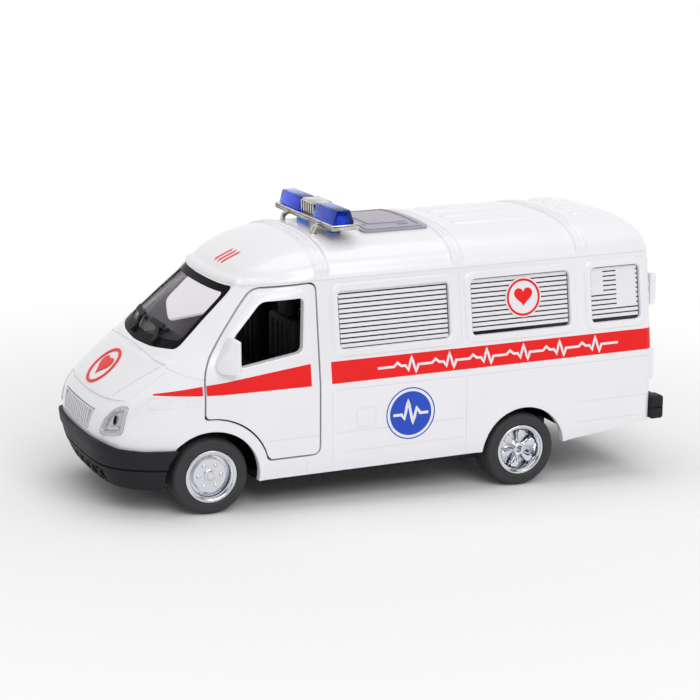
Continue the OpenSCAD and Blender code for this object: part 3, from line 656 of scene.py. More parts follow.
def ribbon(pts, width, at, top, under, step=0.5, foot=1.0):
    """A bar of even width along open points, following a surface; foot scales its lower side."""
    fine = [Vector(p) for p in resampled(pts, step, closed=False)]
    verts = []
    for i, p in enumerate(fine):
        d1 = p - fine[i - 1] if i else fine[1] - p
        d2 = fine[i + 1] - p if i < len(fine) - 1 else d1
        d1, d2 = d1.normalized(), d2.normalized()
        n1 = Vector((-d1.y, d1.x))
        m = n1 + Vector((-d2.y, d2.x))
        w = m / max(0.5, m.dot(n1)) * width / 2
        verts += [lifted(at, *q, off)
                  for q, off in ((p + w, top), (p - w, top), (p - w * foot, under), (p + w * foot, under))]
    ends = [(0, 1, 2, 3), tuple(4 * (len(fine) - 1) + j for j in (3, 2, 1, 0))]
    return tidy_mesh("ribbon", verts, quads(len(fine), 4) + ends, 1e-5)


def groove(pts, at, width=0.46, depth=0.1):
    """The cutter of a panel line."""
    return ribbon(pts, width, at, 0.7, -depth, 0.6, 0.3)


def strip(top, foot, n=40, rows=7):
    """A printed band on the side between two straight lines, each given by its ends."""
    w = n + 1
    d = rows * w
    verts = []
    for off in (INK, -INK):
        for r in range(rows):
            verts += [lifted(on_side, *between(between(*top, k, n), between(*foot, k, n), r, rows - 1), off)
                      for k in range(w)]
    border = list(range(w)) + [r * w + n for r in range(1, rows)]
    border += [(rows - 1) * w + k for k in range(n - 1, -1, -1)] + [r * w for r in range(rows - 2, 0, -1)]
    faces = quads(rows, w, ring=False) + quads(rows, w, d, ring=False)
    faces += [(a, b, b + d, a + d) for a, b in zip(border, border[1:] + border[:1])]
    return tidy_mesh("strip", verts, faces, 1e-5)


# ---------------------------------------------------------------- what repeats, by Geometry Nodes
def repeat_tree(name, sizes, shape):
    """A tree with one named input per size, which sets copies of a shape out in a row or a ring."""
    tree = bpy.data.node_groups.new(name, "GeometryNodeTree")
    tree.interface.new_socket("Geometry", in_out="OUTPUT", socket_type="NodeSocketGeometry")
    for label, value in sizes.items():
        kind = "NodeSocketInt" if isinstance(value, int) else "NodeSocketFloat"
        tree.interface.new_socket(label, in_out="INPUT", socket_type=kind).default_value = value
    tree.interface.new_socket("Material", in_out="INPUT", socket_type="NodeSocketMaterial")
    given = node(tree, "NodeGroupInput").outputs
    if shape == "slats":
        offset = node(tree, "ShaderNodeCombineXYZ", {"Z": given["Pitch"]}).outputs[0]
        points = node(tree, "GeometryNodeMeshLine", {"Count": given["Count"], "Offset": offset})
        size = {"X": given["Length"], "Y": given["Depth"], "Z": given["Height"]}
        unit = node(tree, "GeometryNodeMeshCube", {"Size": node(tree, "ShaderNodeCombineXYZ", size).outputs[0]})
    else:
        points = node(tree, "GeometryNodeMeshCircle", {"Vertices": given["Count"], "Radius": given["Ring"]})
        unit = node(tree, "GeometryNodeMeshUVSphere", {"Segments": 20, "Rings": 10, "Radius": given["Boss"]})
    copies = node(tree, "GeometryNodeInstanceOnPoints", {"Points": points.outputs[0], "Instance": unit.outputs[0]})
    real = node(tree, "GeometryNodeRealizeInstances", {0: copies.outputs[0]})
    paint = node(tree, "GeometryNodeSetMaterial", {0: real.outputs[0], "Material": given["Material"]})
    node(tree, "NodeGroupOutput", {0: paint.outputs[0]})
    return tree


def repeated(tree, material, **sizes):
    """The tree's result with these sizes, as a plain mesh."""
    ids = {s.name: s.identifier for s in tree.interface.items_tree if s.in_out == "INPUT"}
    inputs = {ids[k]: v for k, v in sizes.items()}
    inputs[ids["Material"]] = MATS[material]
    return applied(bpy.data.meshes.new(tree.name), [("NODES", {"node_group": tree})], inputs)


# ---------------------------------------------------------------- materials
def colour(hexa):
    """Linear colour from an sRGB hex."""
    c = [int(hexa[i:i + 2], 16) / 255 for i in (1, 3, 5)]
    return tuple(v / 12.92 if v <= 0.04045 else ((v + 0.055) / 1.055) ** 2.4 for v in c) + (1.0,)


def node(tree, kind, inputs=(), **settings):
    """Adds a node with its settings; an input given another node's output is linked, any other value is set."""
    n = tree.nodes.new(kind)
    for k, v in settings.items():
        setattr(n, k, v)
    for k, v in dict(inputs).items():
        if isinstance(v, bpy.types.NodeSocket):
            tree.links.new(v, n.inputs[k])
        else:
            n.inputs[k].default_value = v
    return n


def node_tree(owner):
    """The emptied node tree of a material or world."""
    owner.use_nodes = True
    owner.node_tree.nodes.clear()
    return owner.node_tree


def plastic(name, base, other, rough, grain_mm, bump_mm=0.0, metal=0.0, clear=0.0, through=0.0, ior=1.5, sheen=0.5,
            alpha=1.0):
    """A Principled material whose colour and roughness drift a little over a noise of real size, with a fine bump."""
    m = bpy.data.materials.new(name)
    t = node_tree(m)
    where = node(t, "ShaderNodeTexCoord").outputs["Object"]
    broad = node(t, "ShaderNodeTexNoise", {"Vector": where, "Scale": 1000 / grain_mm, "Detail": 3.0}).outputs["Fac"]
    mix = node(t, "ShaderNodeMix", {"Factor": broad, 6: base, 7: colour(other)}, data_type="RGBA")
    spread = node(t, "ShaderNodeMapRange", {"Value": broad, "To Min": rough * 0.85, "To Max": rough * 1.2})
    p = node(t, "ShaderNodeBsdfPrincipled",
             {"Base Color": mix.outputs[2], "Roughness": spread.outputs[0], "Metallic": metal, "Coat Weight": clear,
              "Coat Roughness": 0.06, "Transmission Weight": through, "IOR": ior, "Specular IOR Level": sheen,
              "Alpha": alpha})
    if bump_mm:
        scale = 1000 / (grain_mm * 0.12)
        fine = node(t, "ShaderNodeTexNoise", {"Vector": where, "Scale": scale, "Detail": 2.0}).outputs["Fac"]
        b = node(t, "ShaderNodeBump", {"Height": fine, "Strength": 0.25, "Distance": bump_mm / 1000})
        t.links.new(b.outputs[0], p.inputs["Normal"])
    node(t, "ShaderNodeOutputMaterial", {0: p.outputs[0]})
    return m


def materials():
    c = bpy.context.scene.ambulance_colours
    made = {}

    def keep(key, name, base, *a, **k):
        made[key] = plastic(name, colour(base) if isinstance(base, str) else tuple(base), *a, **k)

    # Sprayed enamel on die-cast zinc: thick, glossy, a faint orange peel and soft drift of tone.
    keep("paint", "white_enamel_on_zinc", c.paint, "#EEEDF1", 0.2, 9.0, 0.012, clear=0.35)
    # Matt injection-moulded polypropylene: spark-eroded tool grain, so it scatters light and stays charcoal.
    keep("black", "charcoal_moulded_plastic", c.black, "#28272B", 0.5, 4.0, 0.03, sheen=0.1)
    # The same plastic inside the cab, painted darker as painted shade, since little light gets there.
    keep("cab", "black_cab_plastic_painted_shade", "#0F0F11", "#151518", 0.6, 3.0, 0.02, sheen=0.2)
    # Smoke-tinted clear styrene: polished tool, so sharp reflections over a grey see-through.
    keep("smoke", "smoke_tinted_styrene", "#E2DCE3", "#E8E3E9", 0.04, 12.0, through=1.0, ior=1.1)
    # The same styrene in the side windows, seen only as the lines between printed slats: dark, partly the unlit inside
    # showing through and partly painted shade in its colour.
    keep("pane", "styrene_painted_interior_shade", "#3B3841", "#45424B", 0.05, 10.0, through=0.6, ior=1.3)
    # Thin clear cover of a headlamp: a polished film, almost all of it lets the light by.
    keep("clear", "clear_styrene", "#DDDCE4", "#E6E5EB", 0.06, 10.0, alpha=0.12)
    # Clear lamp styrene, thick rim that gathers light.
    keep("lamp", "clear_lamp_styrene", "#E6E5EB", "#EFEFF3", 0.08, 6.0, through=0.45, ior=1.3)
    # Pad-printed ink: thin, satin, with slight uneven cover.
    keep("print_white", "white_pad_ink", "#F1F0F4", "#E7E6EC", 0.35, 2.5, 0.006)
    keep("print_black", "black_pad_ink", "#121115", "#18171B", 0.3, 2.5, 0.006, sheen=0.02)
    keep("print_red", "red_pad_ink", c.red, "#EC1A1E", 0.35, 3.0, 0.006, sheen=0.25)
    keep("print_blue", "blue_pad_ink", c.blue, "#234BC0", 0.35, 3.0, 0.006, sheen=0.25)
    # Silver lacquer over moulded styrene: fine flake, half-sharp reflections.
    keep("silver", "silver_lacquered_plastic", "#DDDCE1", "#CFCFD5", 0.3, 0.8, 0.012, metal=0.25)
    # Vacuum-metallised plastic: aluminium film under lacquer, mirror bright with a soft ripple.
    keep("chrome", "vacuum_metallised_plastic", "#E2E3E7", "#D6D8DD", 0.12, 2.2, 0.01, metal=1.0)
    # The same film on the light bar, thicker and warmer, with dark patches mixed into its colour: painted reflections
    # of a dark room between bright streaks.
    keep("bar", "warm_metallised_plastic_painted_reflections", "#FAF6F0", "#4A4541", 0.08, 1.1, 0.02, metal=1.0)
    # Dyed clear styrene of the beacons: deep blue, light glows through the thin edges.
    keep("beacon", "blue_dyed_styrene", c.beacon, "#1688FF", 0.04, 2.5, through=0.96, ior=1.35, sheen=0.05)
    # Dark red plastic between the ribs of the bar's middle: dull, so the metallised ribs stand out.
    keep("maroon", "maroon_moulded_plastic", "#4A1D1F", "#572426", 0.5, 1.5, 0.01, sheen=0.2)
    # Hatch: pale lavender-grey translucent plastic, semi-matt.
    keep("hatch", "lavender_grey_plastic", c.hatch, "#A09AA8", 0.36, 5.0, 0.01)
    # Drawn steel wire for axles, pins and screws: fine marks along it.
    keep("steel", "drawn_steel", "#A9ACB0", "#8E9196", 0.28, 0.9, 0.01, metal=1.0)
    # Grey moulded case of the drive: plain ABS, slightly rough from the tool.
    keep("case", "grey_moulded_abs", "#4A4C50", "#54565A", 0.45, 2.5, 0.02, sheen=0.3)
    # Moulded acetal gears: waxy, cream white.
    keep("gear", "natural_acetal", "#E4DDCB", "#D8CFB9", 0.4, 1.6, 0.01)
    # Soft vinyl tyre: dull black with a dusty bloom.
    keep("tyre", "soft_vinyl_tyre", "#333335", "#3D3D3F", 0.62, 2.4, 0.03, sheen=0.3)
    return made


# ---------------------------------------------------------------- sizes and colours
def length(name, words, default, low, high):
    return bpy.props.FloatProperty(name=name, description=words, default=default, min=low, max=high, precision=5,
                                   subtype="DISTANCE", unit="LENGTH")


def shade(name, words, hexa):
    return bpy.props.FloatVectorProperty(name=name, description=words, default=colour(hexa), size=4, min=0, max=1,
                                         subtype="COLOR")


class AmbulanceSizes(bpy.types.PropertyGroup):
    door_gap: length("Door gap", "Clear gap round a front door", 0.0003, 0.0001, 0.001)
    slat_pitch: length("Slat pitch", "From one printed window slat to the next", 0.00084, 0.0003, 0.003)
    slat_height: length("Slat height", "Height of a printed window slat", 0.0006, 0.0001, 0.002)
    grille_pitch: length("Grille pitch", "From one grille rib to the next", 0.001, 0.0004, 0.003)
    boss_count: bpy.props.IntProperty(name="Hub bosses", description="Bosses on a front hub", default=6, min=3, max=12)


class AmbulanceColours(bpy.types.PropertyGroup):
    paint: shade("Body paint", "Enamel of the body and doors", "#F3F2F6")
    red: shade("Stripe", "Red ink of the stripe and marks", "#F2221F")
    blue: shade("Badge", "Blue ink of the badge", "#2F55C8")
    beacon: shade("Beacons", "Dyed plastic of the beacon lenses", "#0A78FF")
    black: shade("Bumpers", "Moulded plastic of the bumpers", "#2E2D32")
    hatch: shade("Hatch", "Plastic of the roof hatch", "#A8A2AF")


def mm(value):
    """A size kept in metres, in millimetres."""
    return value * 1000


# ---------------------------------------------------------------- pieces
def body_outer():
    """The fine casting, made once with its inner form, as a fresh copy each time."""
    if not SHARED:
        SHARED.update(outer=casting(), inner=casting(-WALL, fine=False))
    return SHARED["outer"].copy()


def inner():
    body_outer()
    return SHARED["inner"].copy()


def door_shape(d):
    """The front door's outline grown by d, with its wheel arch and rounded corners."""
    cx, cz, reach = DOOR_ARCH
    reach -= d
    ahead, foot = 0.9 + d, 2.12 - d
    start, end = math.acos(ahead / reach), math.pi - math.asin(foot / reach)
    turns = [start + (end - start) * t for t in (0, *np.linspace(0.12, 0.88, 14), 1)]
    arc = [(cx + reach * math.cos(a), cz + reach * math.sin(a)) for a in turns]
    return rounded([(DOOR[0][0] - d, DOOR[0][1] - d)] + grown(DOOR, d)[1:8] + arc, 1.5 + d, 7)


class AMBULANCE_OT_casting(bpy.types.Operator):
    """The white die-cast body with its panel relief and openings"""
    bl_idname = "ambulance.casting"
    bl_label = "Body casting"

    @staticmethod
    def panel_lines():
        """Cutters for the lines between panels; lines that cross are in different meshes."""
        level = [((6.9, -17.3), 13.1), ((5.5, -17.3), 9.63), ((-39.6, -54.6), 13.4), ((-39.5, -52.5), 9.7),
                 ((7, -54.4), 20.6)]
        level = [[(x, z) for x in ends] for ends, z in level]
        upright = [(7.45, (8.4, 20.2)), (-17.8, (7.2, 20.2)), (-17.1, (26.4, 38.9)), (12.2, (7, 9.2))]
        upright = [[(x, z) for z in ends] for x, ends in upright]
        upright.append([(35.1, 26.3), (33.8, 25.7), (32.4, 25.1), (29.6, 24.5)])
        sides = [joined(*[groove(p, on_side) for p in group]) for group in (level, upright)]
        outlines = []
        for u0, u1, v0, v1, r in ((-0.6, 3.1, 13.45, 17.2, 0.8), (35.4, 39, 19.9, 21.9, 0.4),
                                  (30.6, 33.1, 20.1, 21.4, 0.4)):
            outer = resampled(round_box(u0, u1, v0, v1, r), 0.6)
            hole = shrunk(outer, ((u0 + u1) / 2, (v0 + v1) / 2), 1 - 0.5 / (u1 - u0), 1 - 0.5 / (v1 - v0))
            outlines.append(patch(outer, on_side, 0.7, -0.09, hole=hole))
        sides.append(joined(*outlines))
        shut = [(y, 20.55 + 0.0026 * y * y) for y in np.linspace(-14.2, 14.2, 29)]
        cowl = [(y, 27.7 - 0.0053 * y * y) for y in np.linspace(-14.6, 14.6, 31)]
        crease = [[(s * 14.1, 26.2), (s * 10.95, 21.3)] for s in (1, -1)]
        wing = [[(s * 15.5, 25.6), (s * 14.6, 21.8)] for s in (1, -1)]
        nose = joined(*[groove(p, on_front, 0.5, 0.11) for p in [shut, cowl] + crease + wing])
        return [m for s in sides for m in (s, mirrored(s))] + [nose]

    def execute(self, context):
        door = prism(door_shape(mm(context.scene.ambulance_sizes.door_gap) / 2), 11, FAR)
        cuts = [inner(), prism(SILL, -FAR, FAR), prism(BUMPER, -FAR, FAR), door, mirrored(door),
                prism(rounded(grown(SCREEN, 0.6), 0.9), 14, 60, "yzx"), prism(grown(GRILLE, 0.3), 42, 60, "yzx")]
        for axle in AXLES:
            cuts += through_sides(disc(axle, ARCH, 96), 11)
        for a, b in PANES:
            cuts += through_sides(round_box(a, b, *PANE_Z, 1.0), 10)
        lamp = prism(rounded(grown(LAMP, 0.4), 1.0, 8), 38, 60, "yzx")
        lamp.transform(Matrix.Rotation(LAMP_TURN, 4, "Z"))
        cuts += [lamp, mirrored(lamp), block(-70, -50, -16.1, 16.1, 13.1, 37.7), *self.panel_lines()]
        piece("body_casting", carved(body_outer(), cuts), "paint", ("body_shell",), 38)
        return {"FINISHED"}


class AMBULANCE_OT_doors(bpy.types.Operator):
    """The two opening front doors with their mirrors"""
    bl_idname = "ambulance.doors"
    bl_label = "Front doors"

    def execute(self, context):
        outline = door_shape(-mm(context.scene.ambulance_sizes.door_gap) / 2)
        window = prism(rounded(grown(DOOR_WINDOW, 0.5), 1.0), 8, FAR)
        line = groove([(8, 13.1), (20.5, 13.1)], on_side)
        panel = carved(prism(outline, 12, FAR), [inner(), window, line], body_outer())
        plan = prism(rounded(POD_PLAN, 0.5, 3), 20, 36, "xyz")
        pod = carved(prism(rounded(POD_SIDE, 0.5, 3), 12, 24), [casting(-0.1, False)], plan)
        pair("door_panel", panel, "paint", "door", 38, "front_door")
        pair("door_mirror", softened(pod, 0.12, 2, 50), "paint", "mirror", 30, "front_door")
        return {"FINISHED"}


class AMBULANCE_OT_glazing(bpy.types.Operator):
    """Windscreen with its printed border, wipers, and the slatted side windows"""
    bl_idname = "ambulance.glazing"
    bl_label = "Glazing"

    def screen(self):
        outline = rounded(grown(SCREEN, 0.55), 0.9)
        pane = patch(outline, on_front, -0.24, -0.75, 28, step=0.45)
        piece("windscreen_pane", pane, "smoke", ("windscreen",))
        edge = resampled(outline, 0.45)
        mid = 33.4
        hole = [(y * 0.93, mid + (z - mid) * (0.8 if z > mid else 0.74)) for y, z in edge]
        piece("windscreen_border", patch(edge, on_front, -0.06, -0.2, hole=hole), "print_black")
        wipers = []
        for y in (7.0, -3.5):
            arm = [(y, 29.2), (y - 1.2, 30.0), (y - 3.2, 30.9)]
            blade = [(y - 7.2, 31.05), (y - 3.2, 31.0), (y + 0.6, 30.8)]
            wipers += [ribbon(arm, 0.55, on_front, 0.36, -0.12, foot=1.1),
                       ribbon(blade, 0.3, on_front, 0.3, -0.14, foot=1.6),
                       ribbon(blade[:1] + [(y - 1.0, 30.92)], 0.62, on_front, 0.42, 0.16),
                       patch(disc((y, 29.25), 0.55, 24), on_front, 0.5, -0.1, 3, step=0)]
        piece("wiper_blades", joined(*wipers), "cab", ("wipers",), 30)

    def execute(self, context):
        self.screen()
        sizes = context.scene.ambulance_sizes
        pitch, height = mm(sizes.slat_pitch), mm(sizes.slat_height)
        tree = repeat_tree("window_slats", {"Count": 11, "Pitch": 0.84, "Length": 10.0, "Depth": 0.1, "Height": 0.66},
                           "slats")
        count = int((PANE_Z[1] - PANE_Z[0]) / pitch) + 1
        panes, slats = [], []
        # Made upright, y outwards and z up from the windows' foot; the second and third have a dark strip there, where
        # the pane's painted shade shows.
        for (a, b), strip_z in zip(PANES, (0, 0.45, 0.45)):
            panes.append(block(a - 0.8, b + 0.8, -1.75, -0.62, -0.9, 10.7))
            s = repeated(tree, "print_white", Count=count - (1 if strip_z else 0), Pitch=pitch, Length=b - a - 0.55,
                         Depth=0.06, Height=height)
            s.transform(Matrix.Translation(((a + b) / 2 - 0.1, -0.56, 0.55 + strip_z)))
            slats.append(s)
        # Fields of plain white in the third window.
        for u0, u1, v0 in ((-45.7, -43.3, 5.1), (-52.4, -48.4, 2.4)):
            slats.append(block(u0, u1, -0.55, -0.5, v0, 9.4))
        foot = PANE_Z[0]
        lean = Matrix.Rotation(math.atan(LEAN), 4, "X")
        lean = Matrix.Translation((0, HALF + 0.04 - LEAN * (foot - BELT), foot)) @ lean
        for name, meshes, material, node_name in (("side_panes", panes, "pane", "side_glazing"),
                                                  ("side_slats", slats, "print_white", None)):
            mesh = joined(*meshes)
            mesh.transform(lean)
            pair(name, mesh, material, node_name)
        return {"FINISHED"}


class AMBULANCE_OT_front_trim(bpy.types.Operator):
    """Grille, headlamps and the charcoal front bumper"""
    bl_idname = "ambulance.front_trim"
    bl_label = "Front trim"

    def grille(self, pitch):
        parts = [patch(resampled(grown(GRILLE, 0.25), 0.6), on_front, -0.35, -1.1, 5)]
        n = int(6.6 / pitch)
        for k in range(-n, n + 1):
            parts.append(ribbon([(k * pitch, 15.6), (k * pitch, 18.5)], 0.56, on_front, -0.02, -0.4))
        edge = resampled(grown(GRILLE, 0.12), 0.6)
        parts.append(patch(edge, on_front, 0.02, -0.4, hole=shrunk(edge, (0, 17.07), 0.955, 0.84)))
        piece("grille_ribs", joined(*parts), "silver", ("grille",), 35)

    def headlamps(self):
        outline = resampled(rounded(grown(LAMP, 0.36), 1.0, 8), 0.5)
        u, z = c = middle(outline)

        def inset(k):
            return shrunk(outline, c, k)

        rim = [patch(outline, on_lamp, 0.28, -0.45, hole=inset(0.78)),
               patch(inset(0.8), on_lamp, -0.02, -0.3, hole=inset(0.7)),
               ribbon([(u - 1.35, z - 1.3), (u + 0.9, z - 1.15)], 0.35, on_lamp, 0.02, -0.2)]
        piece("headlamp_rim", both(*rim), "lamp", ("headlamp_lenses",), 30)
        pane = patch(inset(0.8), on_lamp, -0.08, -0.16, 6, c, step=0)
        piece("headlamp_pane", both(pane), "clear")
        bowl = patch(inset(0.97), on_lamp, -0.55, -1.4, 6, c, step=0)
        piece("headlamp_bowl", both(bowl), "silver", ("headlamp_reflectors",), 30)
        eye = (u + 0.1, z + 0.1)
        slit = []
        for a in np.linspace(0, 2 * math.pi, 32, endpoint=False):
            across, up = math.cos(a), math.sin(a)
            slit.append((eye[0] + 0.25 * across * abs(across) ** 0.4 + 0.08 * up, eye[1] + 0.8 * up))
        piece("headlamp_slit", both(patch(slit, on_lamp, 0.0, -0.6, 3, eye, step=0)), "print_black")

    def execute(self, context):
        self.grille(mm(context.scene.ambulance_sizes.grille_pitch))
        self.headlamps()

        def face(x, y, z):
            """The bumper's raised upper band and its set-back foot."""
            top = np.interp(x, *zip(*BUMPER_TOP))
            return 0.24 * ease((z - top + 1.7) / 0.12) - 0.14 * ease((9.4 - z) / 0.2)

        end = 18.6
        crease = [(y, 9.55 + 0.75 * (1 - (y / end) ** 2)) for y in np.linspace(-end, end, 41)]
        cuts = [inner(), *through_sides(disc(AXLES[0], BUMPER_ARCH, 96), 8, 32),
                ribbon(crease, 0.5, on_front, 2, 0.15, foot=0.6),
                patch(round_box(-10.4, 10.4, 6.9, 9.2, 0.5), on_front, 2, 0.0, 8)]
        parts = [carved(prism(BUMPER, -FAR, FAR), cuts, casting(0.52, True, face))]
        low, high = 6.95, 9.15
        for y in (-9.9 + 3.4 * k for k in range(6)):
            for a, b in ((low, high), (high, low)):
                parts.append(ribbon([(y, a), (y + 2.8, b)], 0.5, on_front, 0.4, -0.1))
        piece("bumper_front", joined(*parts), "black", ("front_bumper",), 38)
        return {"FINISHED"}


class AMBULANCE_OT_tail(bpy.types.Operator):
    """Rear doors with their windows and grip, and the rear bumper"""
    bl_idname = "ambulance.tail"
    bl_label = "Tail"

    def execute(self, context):
        hole = prism(round_box(2.6, 13.2, 26, 36, 1.2), -70, -40, "yzx")
        parts = [carved(block(TAIL, TAIL + 1.15, 0.15, 15.9, 13.3, 37.5, 0.15, 2), [hole])]
        # A bead round the window and one round the panel under it.
        for box, c, k, lift in (((1.9, 13.9, 25.3, 36.7, 1.6), (7.9, 31.0), (0.9, 0.9), 0.16),
                                ((2.2, 13.6, 14.6, 23.6, 0.9), (7.9, 19.1), (0.93, 0.91), 0.12)):
            edge = resampled(round_box(*box), 0.7)
            parts.append(patch(edge, on_tail, lift, -0.3, hole=shrunk(edge, c, *k)))
        for z in TAIL_HINGES:
            parts.append(prism(disc((TAIL - 0.7, 16.4), 0.72, 32), z - 1, z + 1, "xyz"))
            parts.append(block(TAIL - 0.35, TAIL + 0.3, 15.2, 16.4, z - 0.95, z + 0.95, 0.1, 2))
        pair("tail_leaf", joined(*parts), "paint", "rear_door", 35, "tail_door")
        glass = block(TAIL + 0.3, TAIL + 0.9, 2.4, 13.4, 25.8, 36.2, 0.05, 2)
        pair("tail_glass", glass, "smoke", "rear_window", body="tail_door")
        grip = mirrored(block(TAIL - 0.5, TAIL + 0.2, 1.2, 3.4, 24.2, 24.9, 0.18))
        piece("tail_grip", grip, "black", body="tail_door_right")
        step = block(-57.85, -57.2, -14, 14, 9.6, 11.6)
        bar = carved(block(-57.8, -55.5, -18.4, 18.4, 8.65, 12.5, 0.4), [step])
        line = block(-58, -54.9, 19.95, 21, 10.5, 10.9)
        end = carved(block(-57.8, -55.2, 17.2, 20.3, 8.5, 12.8, 0.5), [line])
        piece("bumper_rear", joined(bar, both(end)), "black", ("rear_bumper",), 35)
        return {"FINISHED"}


class AMBULANCE_OT_wheels(bpy.types.Operator):
    """Tyres and metallised hubs on both axles"""
    bl_idname = "ambulance.wheels"
    bl_label = "Wheels"

    def execute(self, context):
        count = context.scene.ambulance_sizes.boss_count
        tree = repeat_tree("hub_bosses", {"Count": 6, "Ring": 2.15, "Boss": 0.34}, "bosses")
        for name, axle, face, width, hub in WHEELS:
            tread = [(r, d - width * 0.5) for r, d in TREAD_GROOVE]
            tyre = TYRE + tread + [(r, -width - d) for r, d in TYRE[::-1]]
            tyres, hubs = [], []
            for side in (1, -1):
                def put(mesh, depth, turn):
                    mesh.transform(Matrix.Translation((axle[0], side * (face - depth), axle[1])) @ turn)
                    hubs.append(mesh)

                tyres.append(turned(tyre, axle, face, side, 128))
                hubs.append(turned(hub, axle, face, side, 96))
                if name == "front":
                    bosses = repeated(tree, "chrome", Count=count, Ring=2.0, Boss=0.36)
                    put(bosses, 0.98, Matrix.Rotation(math.pi / 2, 4, "X"))
                    continue
                for k in range(6):
                    spoke = softened(prism(rounded(SPOKE, 0.4, 4), -0.5, 0.5), 0.2, 3, 50)
                    twist = Matrix.Rotation(0.16 * side, 4, "Z")
                    put(spoke, 1.95, Matrix.Rotation(k * math.pi / 3 + 0.3, 4, "Y") @ twist)
            piece("tyres_" + name, joined(*tyres), "tyre", (name + "_tyres",), 40, name + "_wheels")
            piece("hubs_" + name, joined(*hubs), "chrome", (name + "_hubs",), 32, name + "_wheels")
        return {"FINISHED"}


class AMBULANCE_OT_roof(bpy.types.Operator):
    """Light bar, its feet and the roof hatch"""
    bl_idname = "ambulance.roof"
    bl_label = "Roof gear"

    def light_bar(self):
        lines_cut = [block(x0, x1, -12.9, 12.9, z - 0.13, z + 0.13)
                     for x0, x1 in ((4.1, 5), (-1, 0)) for z in (46.8, 47.2)]
        rail = [carved(block(-0.5, 4.6, -13.4, 13.4, 46.5, 47.5, 0.2), lines_cut)]
        arc = ((3.9, 46.75), (4.5, 46.72), (5.05, 46.55), (5.4, 46.2), (5.55, 45.75), (5.58, 45.3), (5.6, 44.95))
        for y in (7.05, -7.05):
            rail.append(swept([(x, y, z) for x, z in arc], 0.55, 0.36))
            rail.append(block(4.95, 6.15, y - 0.7, y + 0.7, 44.8, 45.3, 0.2))
        piece("bar_rail", joined(*rail), "bar", ("lightbar_base",), 30)
        ribs = [1.05 * (k - 2.5) for k in range(6)]
        slots = [block(3.3, 3.7, y - 0.82, y - 0.23, 47.7, 49.5, 0.04, 2) for y in ribs[1:]]
        piece("bar_slots", joined(*slots), "maroon")
        centre = [block(0.2, 3.4, -3.15, 3.15, 47.5, 49.9, 0.25, 4)]
        centre += [block(3.2, 3.75, y - 0.25, y + 0.25, 47.6, 49.6, 0.1) for y in ribs]
        piece("bar_centre", joined(*centre), "bar", ("lightbar_centre",), 30)
        lens = prism([(0.1, 47.5), (4.1, 47.5), (3.4, 49.92), (0.9, 49.92)], 3.2, 12.7)
        hollow = prism([(0.75, 47.3), (3.45, 47.3), (2.95, 49.35), (1.3, 49.35)], 3.9, 12.0)
        left_in = joined(*[block(2.9, 4.2, y - 0.2, y + 0.2, 47, 50) for y in np.arange(4.8, 12, 1.1)])
        lens = carved(softened(lens, 0.28, 4, 30), [carved(hollow, [left_in])])
        post = block(0.65, 2.65, 6.1, 8.0, 43.2, 47.6, 0.3)
        pair("beacon", joined(lens, post), "beacon", "lens", 30)

    def execute(self, context):
        self.light_bar()
        edge = resampled(round_box(-14.6, -3.6, -8.9, 8.9, 0.9), 0.7)
        parts = [patch(round_box(-15.3, -2.9, -9.6, 9.6, 1.1), on_roof, 0.36, -0.05, 10, step=0.8),
                 patch(edge, on_roof, 0.5, 0.2, hole=shrunk(edge, (-9.1, 0), 0.9, 0.94)),
                 patch(round_box(-13.0, -5.4, -5.0, 5.4, 0.7), on_roof, 0.48, 0.2, 6, step=0.8)]
        parts += [patch(disc((-4.6, y), 0.38, 20), on_roof, 0.5, 0.2, 3, step=0) for y in (5.6, -5.6)]
        parts.append(patch(round_box(-12.6, -10.6, 6.3, 6.9, 0.28), on_roof, 0.5, 0.2, 3, step=0.4))
        piece("hatch_panel", joined(*parts), "hatch", ("roof_hatch",), 30)
        return {"FINISHED"}


